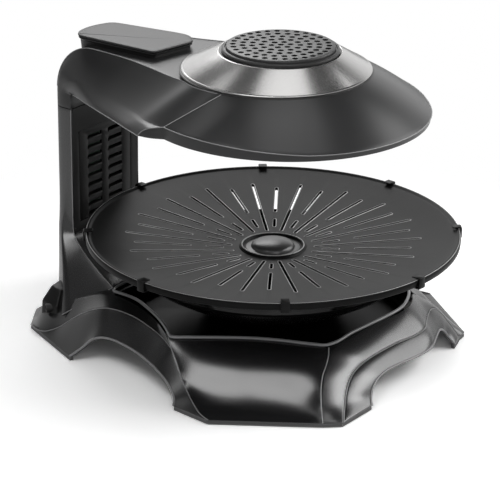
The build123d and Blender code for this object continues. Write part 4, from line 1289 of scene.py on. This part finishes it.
# Steel ring: a spun, brushed stainless cone with a rolled lower edge, clamped on the head. A thin black
# seal lies under each of its two edges; the seals also fill the gaps there with black, as painted shade.
RING_TURN_Y = RING_CENTRE_Y + 0.8
RING_SECTION = [
    (84.2, 266.9), (85.6, 266.9), (86.0, 267.5), (85.8, 268.2), (85.1, 268.6), (84.4, 268.8),
    (83.9, 269.08), (70, 276.8), (56.5, 284.3), (56.0, 284.55), (55.2, 284.7), (54.6, 284.3),
    (54.6, 283.2), (69, 275.2), (83.8, 267.4),
]
RING_LEAN = -0.22
RING_LEAN_FROM_Z = 267
RING_SEGMENTS = 144
ring_form = bmesh.new()
turn_profile(ring_form, RING_SECTION, RING_SEGMENTS, RING_TURN_Y, closed=True,
             lean=RING_LEAN, lean_from=RING_LEAN_FROM_Z)
steel_ring = finish_form("steel_ring_skin", ring_form, smooth_angle=50)


def brushed_steel(name, colour, roughness, centre_y):
    """Spun stainless steel: fine rings round the axis that stretch the highlights."""
    material, tree, shader, where = new_finish(name, Base_Color=colour, Metallic=1.0)
    middle = (0, -(centre_y + AXIS_Y) / 1000, 0)
    centred = add_node(tree, "ShaderNodeMapping", Location=middle, Scale=(1, 1, 0.2))
    rings = add_node(tree, "ShaderNodeTexWave", Scale=420.0, Distortion=1.5, Detail=2.0)
    rings.wave_type = "RINGS"
    rings.rings_direction = "SPHERICAL"
    link_nodes(tree, (where, "Object", centred, "Vector"), (centred, "Vector", rings, "Vector"))
    vary_surface(tree, shader, rings, roughness - 0.03, roughness + 0.05, rings, "Fac", 0.015, 0.0001)
    return material


ring_steel = brushed_steel("ring_steel", (0.50, 0.495, 0.49, 1), roughness=0.22, centre_y=RING_CENTRE_Y)
hand_over(steel_ring, "head", "ring_steel", ring_steel, "steel_ring")
# Seals that fill the gaps under the ring's two edges with black, which also paints the shade of those gaps.
LOWER_SEAL = [(84, 264.8), (87.3, 265.0), (87.4, 266.2), (86.2, 266.9), (84, 266.9)]
UPPER_SEAL = [(52, 282.4), (55.4, 282.6), (55.3, 284.3), (52, 284.1)]
UPPER_SEAL_Y = RING_CENTRE_Y - 3.2
seal_form = bmesh.new()
turn_profile(seal_form, LOWER_SEAL, RING_SEGMENTS, RING_TURN_Y, closed=True)
turn_profile(seal_form, UPPER_SEAL, RING_SEGMENTS, UPPER_SEAL_Y, closed=True)
ring_seal = finish_form("ring_seal", seal_form, smooth_angle=50)
hand_over(ring_seal, "head", "inner_plastic", pod_satin)

# Vent cap: a pressed steel disc with a bevelled rim and a round field of punched
# holes over the filter.
CAP_RADIUS = 53.0
CAP_TOP_Z = 290.0
HOLE_ROWS = 5
HOLE_RADIUS = 2.8
HOLE_PITCH = 8.6
HOLE_TWIST = 0.31
CAP_CENTRE_Y = RING_CENTRE_Y - 3.8
CAP_SECTION = [
    (0, CAP_TOP_Z), (47.6, CAP_TOP_Z), (48.8, 289.6), (49.3, 288.8), (49.4, 286.6), (50.3, 286.6),
    (50.5, 287.7), (52.2, 287.4), (CAP_RADIUS, 286.6), (CAP_RADIUS, 284.8), (49, 284.4), (48.2, 288.2),
    (0, 288.4),
]
cap_form = bmesh.new()
turn_profile(cap_form, CAP_SECTION, segments=120, centre_y=CAP_CENTRE_Y)
vent_cap = finish_form("vent_cap_skin", cap_form, smooth_angle=35)


def hole_field():
    """Geometry Nodes: a prism at each hole, in rings of six, twelve and so on."""
    tree, given, result, sockets = new_group(
        "hole_field", ("Pitch", "NodeSocketFloat"), ("Hole radius", "NodeSocketFloat"))
    joined = add_node(tree, "GeometryNodeJoinGeometry")
    for row in range(HOLE_ROWS + 1):
        circle = add_node(tree, "GeometryNodeMeshCircle", Vertices=max(6 * row, 3))
        reach = calc_node(tree, "ShaderNodeMath", "MULTIPLY", (1, max(row, 0.0001)))
        turned = add_node(tree, "GeometryNodeTransform", Rotation=(0, 0, HOLE_TWIST * row))
        link_nodes(tree, (given, "Pitch", reach, 0), (reach, 0, circle, "Radius"),
                   (circle, 0, turned, 0), (turned, 0, joined, 0))
    weld = add_node(tree, "GeometryNodeMergeByDistance")
    punch = add_node(tree, "GeometryNodeMeshCylinder", Vertices=14, Depth=0.02)
    copies = add_node(tree, "GeometryNodeInstanceOnPoints")
    real = add_node(tree, "GeometryNodeRealizeInstances")
    coat = add_node(tree, "GeometryNodeSetMaterial")
    link_nodes(tree, (given, "Hole radius", punch, "Radius"), (joined, 0, weld, 0),
               (weld, 0, copies, "Points"), (punch, 0, copies, "Instance"), (copies, 0, real, 0),
               (real, 0, coat, 0), (coat, 0, result, 0))
    values = {"Pitch": HOLE_PITCH / 1000, "Hole radius": HOLE_RADIUS / 1000}
    holder = run_group("hole_punches", tree, sockets, values)
    holder.data.transform(Matrix.Translation(place(0, CAP_CENTRE_Y, 288)))
    return holder


cut_away(vent_cap, hole_field(), 35)
cap_grey = satin_moulding("cap_grey", grey(0.020), roughness=0.36, gloss=0.45)
hand_over(vent_cap, "head", "cap_metal", cap_grey, "vent_cap")

# Gland housing: a faceted boss of black moulding at the column foot's left rear. It
# holds the rubber gland for the mains lead.
GLAND_LEVELS = [
    [(-109, 169, 6), (-105, 193, 6), (-80, 199, 6), (-84, 170, 10)],
    [(-109, 170, 14), (-105.5, 193, 13), (-80, 199.5, 13), (-84, 170, 14)],
    [(-107.5, 172, 25), (-104.5, 193, 26), (-80, 199, 26), (-84, 170, 26)],
    [(-95, 178, 36), (-93, 191, 37.5), (-78, 193, 38), (-80, 174, 37)],
]
gland_form = bmesh.new()
loft(gland_form, GLAND_LEVELS)
gland = finish_form("gland_boss", gland_form)
round_edges(gland, width=0.9, angle=12, segments=2)
hand_over(gland, "base", "body_moulding", vent_black, "cord_gland_housing")

# Inner pieces keep the shape of their CAD solids: lamps, shield, fan, boards, hinge,
# screws and wire guard. Each group gets the finish of what it is made of.


def plain_metal(name, colour, roughness):
    """Sheet or wire metal with a faint, uneven drawn grain."""
    material, tree, shader, where = new_finish(name, Base_Color=colour, Metallic=1.0)
    stretch = add_node(tree, "ShaderNodeMapping", Scale=(1, 0.08, 1))
    grain = add_node(tree, "ShaderNodeTexNoise", Scale=500.0, Detail=3.0)
    link_nodes(tree, (where, "Object", stretch, "Vector"), (stretch, "Vector", grain, "Vector"))
    vary_surface(tree, shader, grain, roughness - 0.06, roughness + 0.08, grain, "Fac", 0.06)
    return material


zinc_steel = plain_metal("zinc_steel", (0.30, 0.30, 0.31, 1), roughness=0.38)
bright_aluminium = plain_metal("bright_aluminium", (0.82, 0.82, 0.83, 1), roughness=0.16)
shield_sheet = plain_metal("shield_sheet", grey(0.42), roughness=0.42)
guard_wire = plain_metal("guard_wire", grey(0.5), roughness=0.28)
filter_mesh = plain_metal("filter_mesh", grey(0.16), roughness=0.5)
inner_black = satin_moulding("inner_black", grey(0.012), roughness=0.5, gloss=0.5)
lamp_glass = satin_moulding("lamp_quartz", (0.35, 0.10, 0.05, 1), roughness=0.12, gloss=0.9, grain=0.0)
ceramic = satin_moulding("holder_ceramic", (0.62, 0.60, 0.55, 1), roughness=0.55, gloss=0.5, grain=0.1)
board_green = satin_moulding("board_green", (0.02, 0.10, 0.05, 1), roughness=0.4, gloss=0.6, grain=0.02)
FINISHES = {
    "base_screws": zinc_steel, "head_screws": zinc_steel, "plate_cap_nut": zinc_steel,
    "hinge_pin": zinc_steel, "column_hinge_leaf": zinc_steel, "head_hinge_leaf": zinc_steel,
    "thermal_cutout": zinc_steel, "lamp_reflector": bright_aluminium, "heat_shield": shield_sheet,
    "fan_motor": shield_sheet, "fan_bracket": shield_sheet, "lamp_guard": guard_wire,
    "grease_filter": filter_mesh, "infrared_lamps": lamp_glass, "lamp_holders": ceramic,
    "control_board": board_green, "panel_board": board_green, "head_under_cover": vent_black,
}
for node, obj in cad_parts.items():
    if not obj.hide_render:
        obj.data.materials.clear()
        obj.data.materials.append(FINISHES.get(node, inner_black))
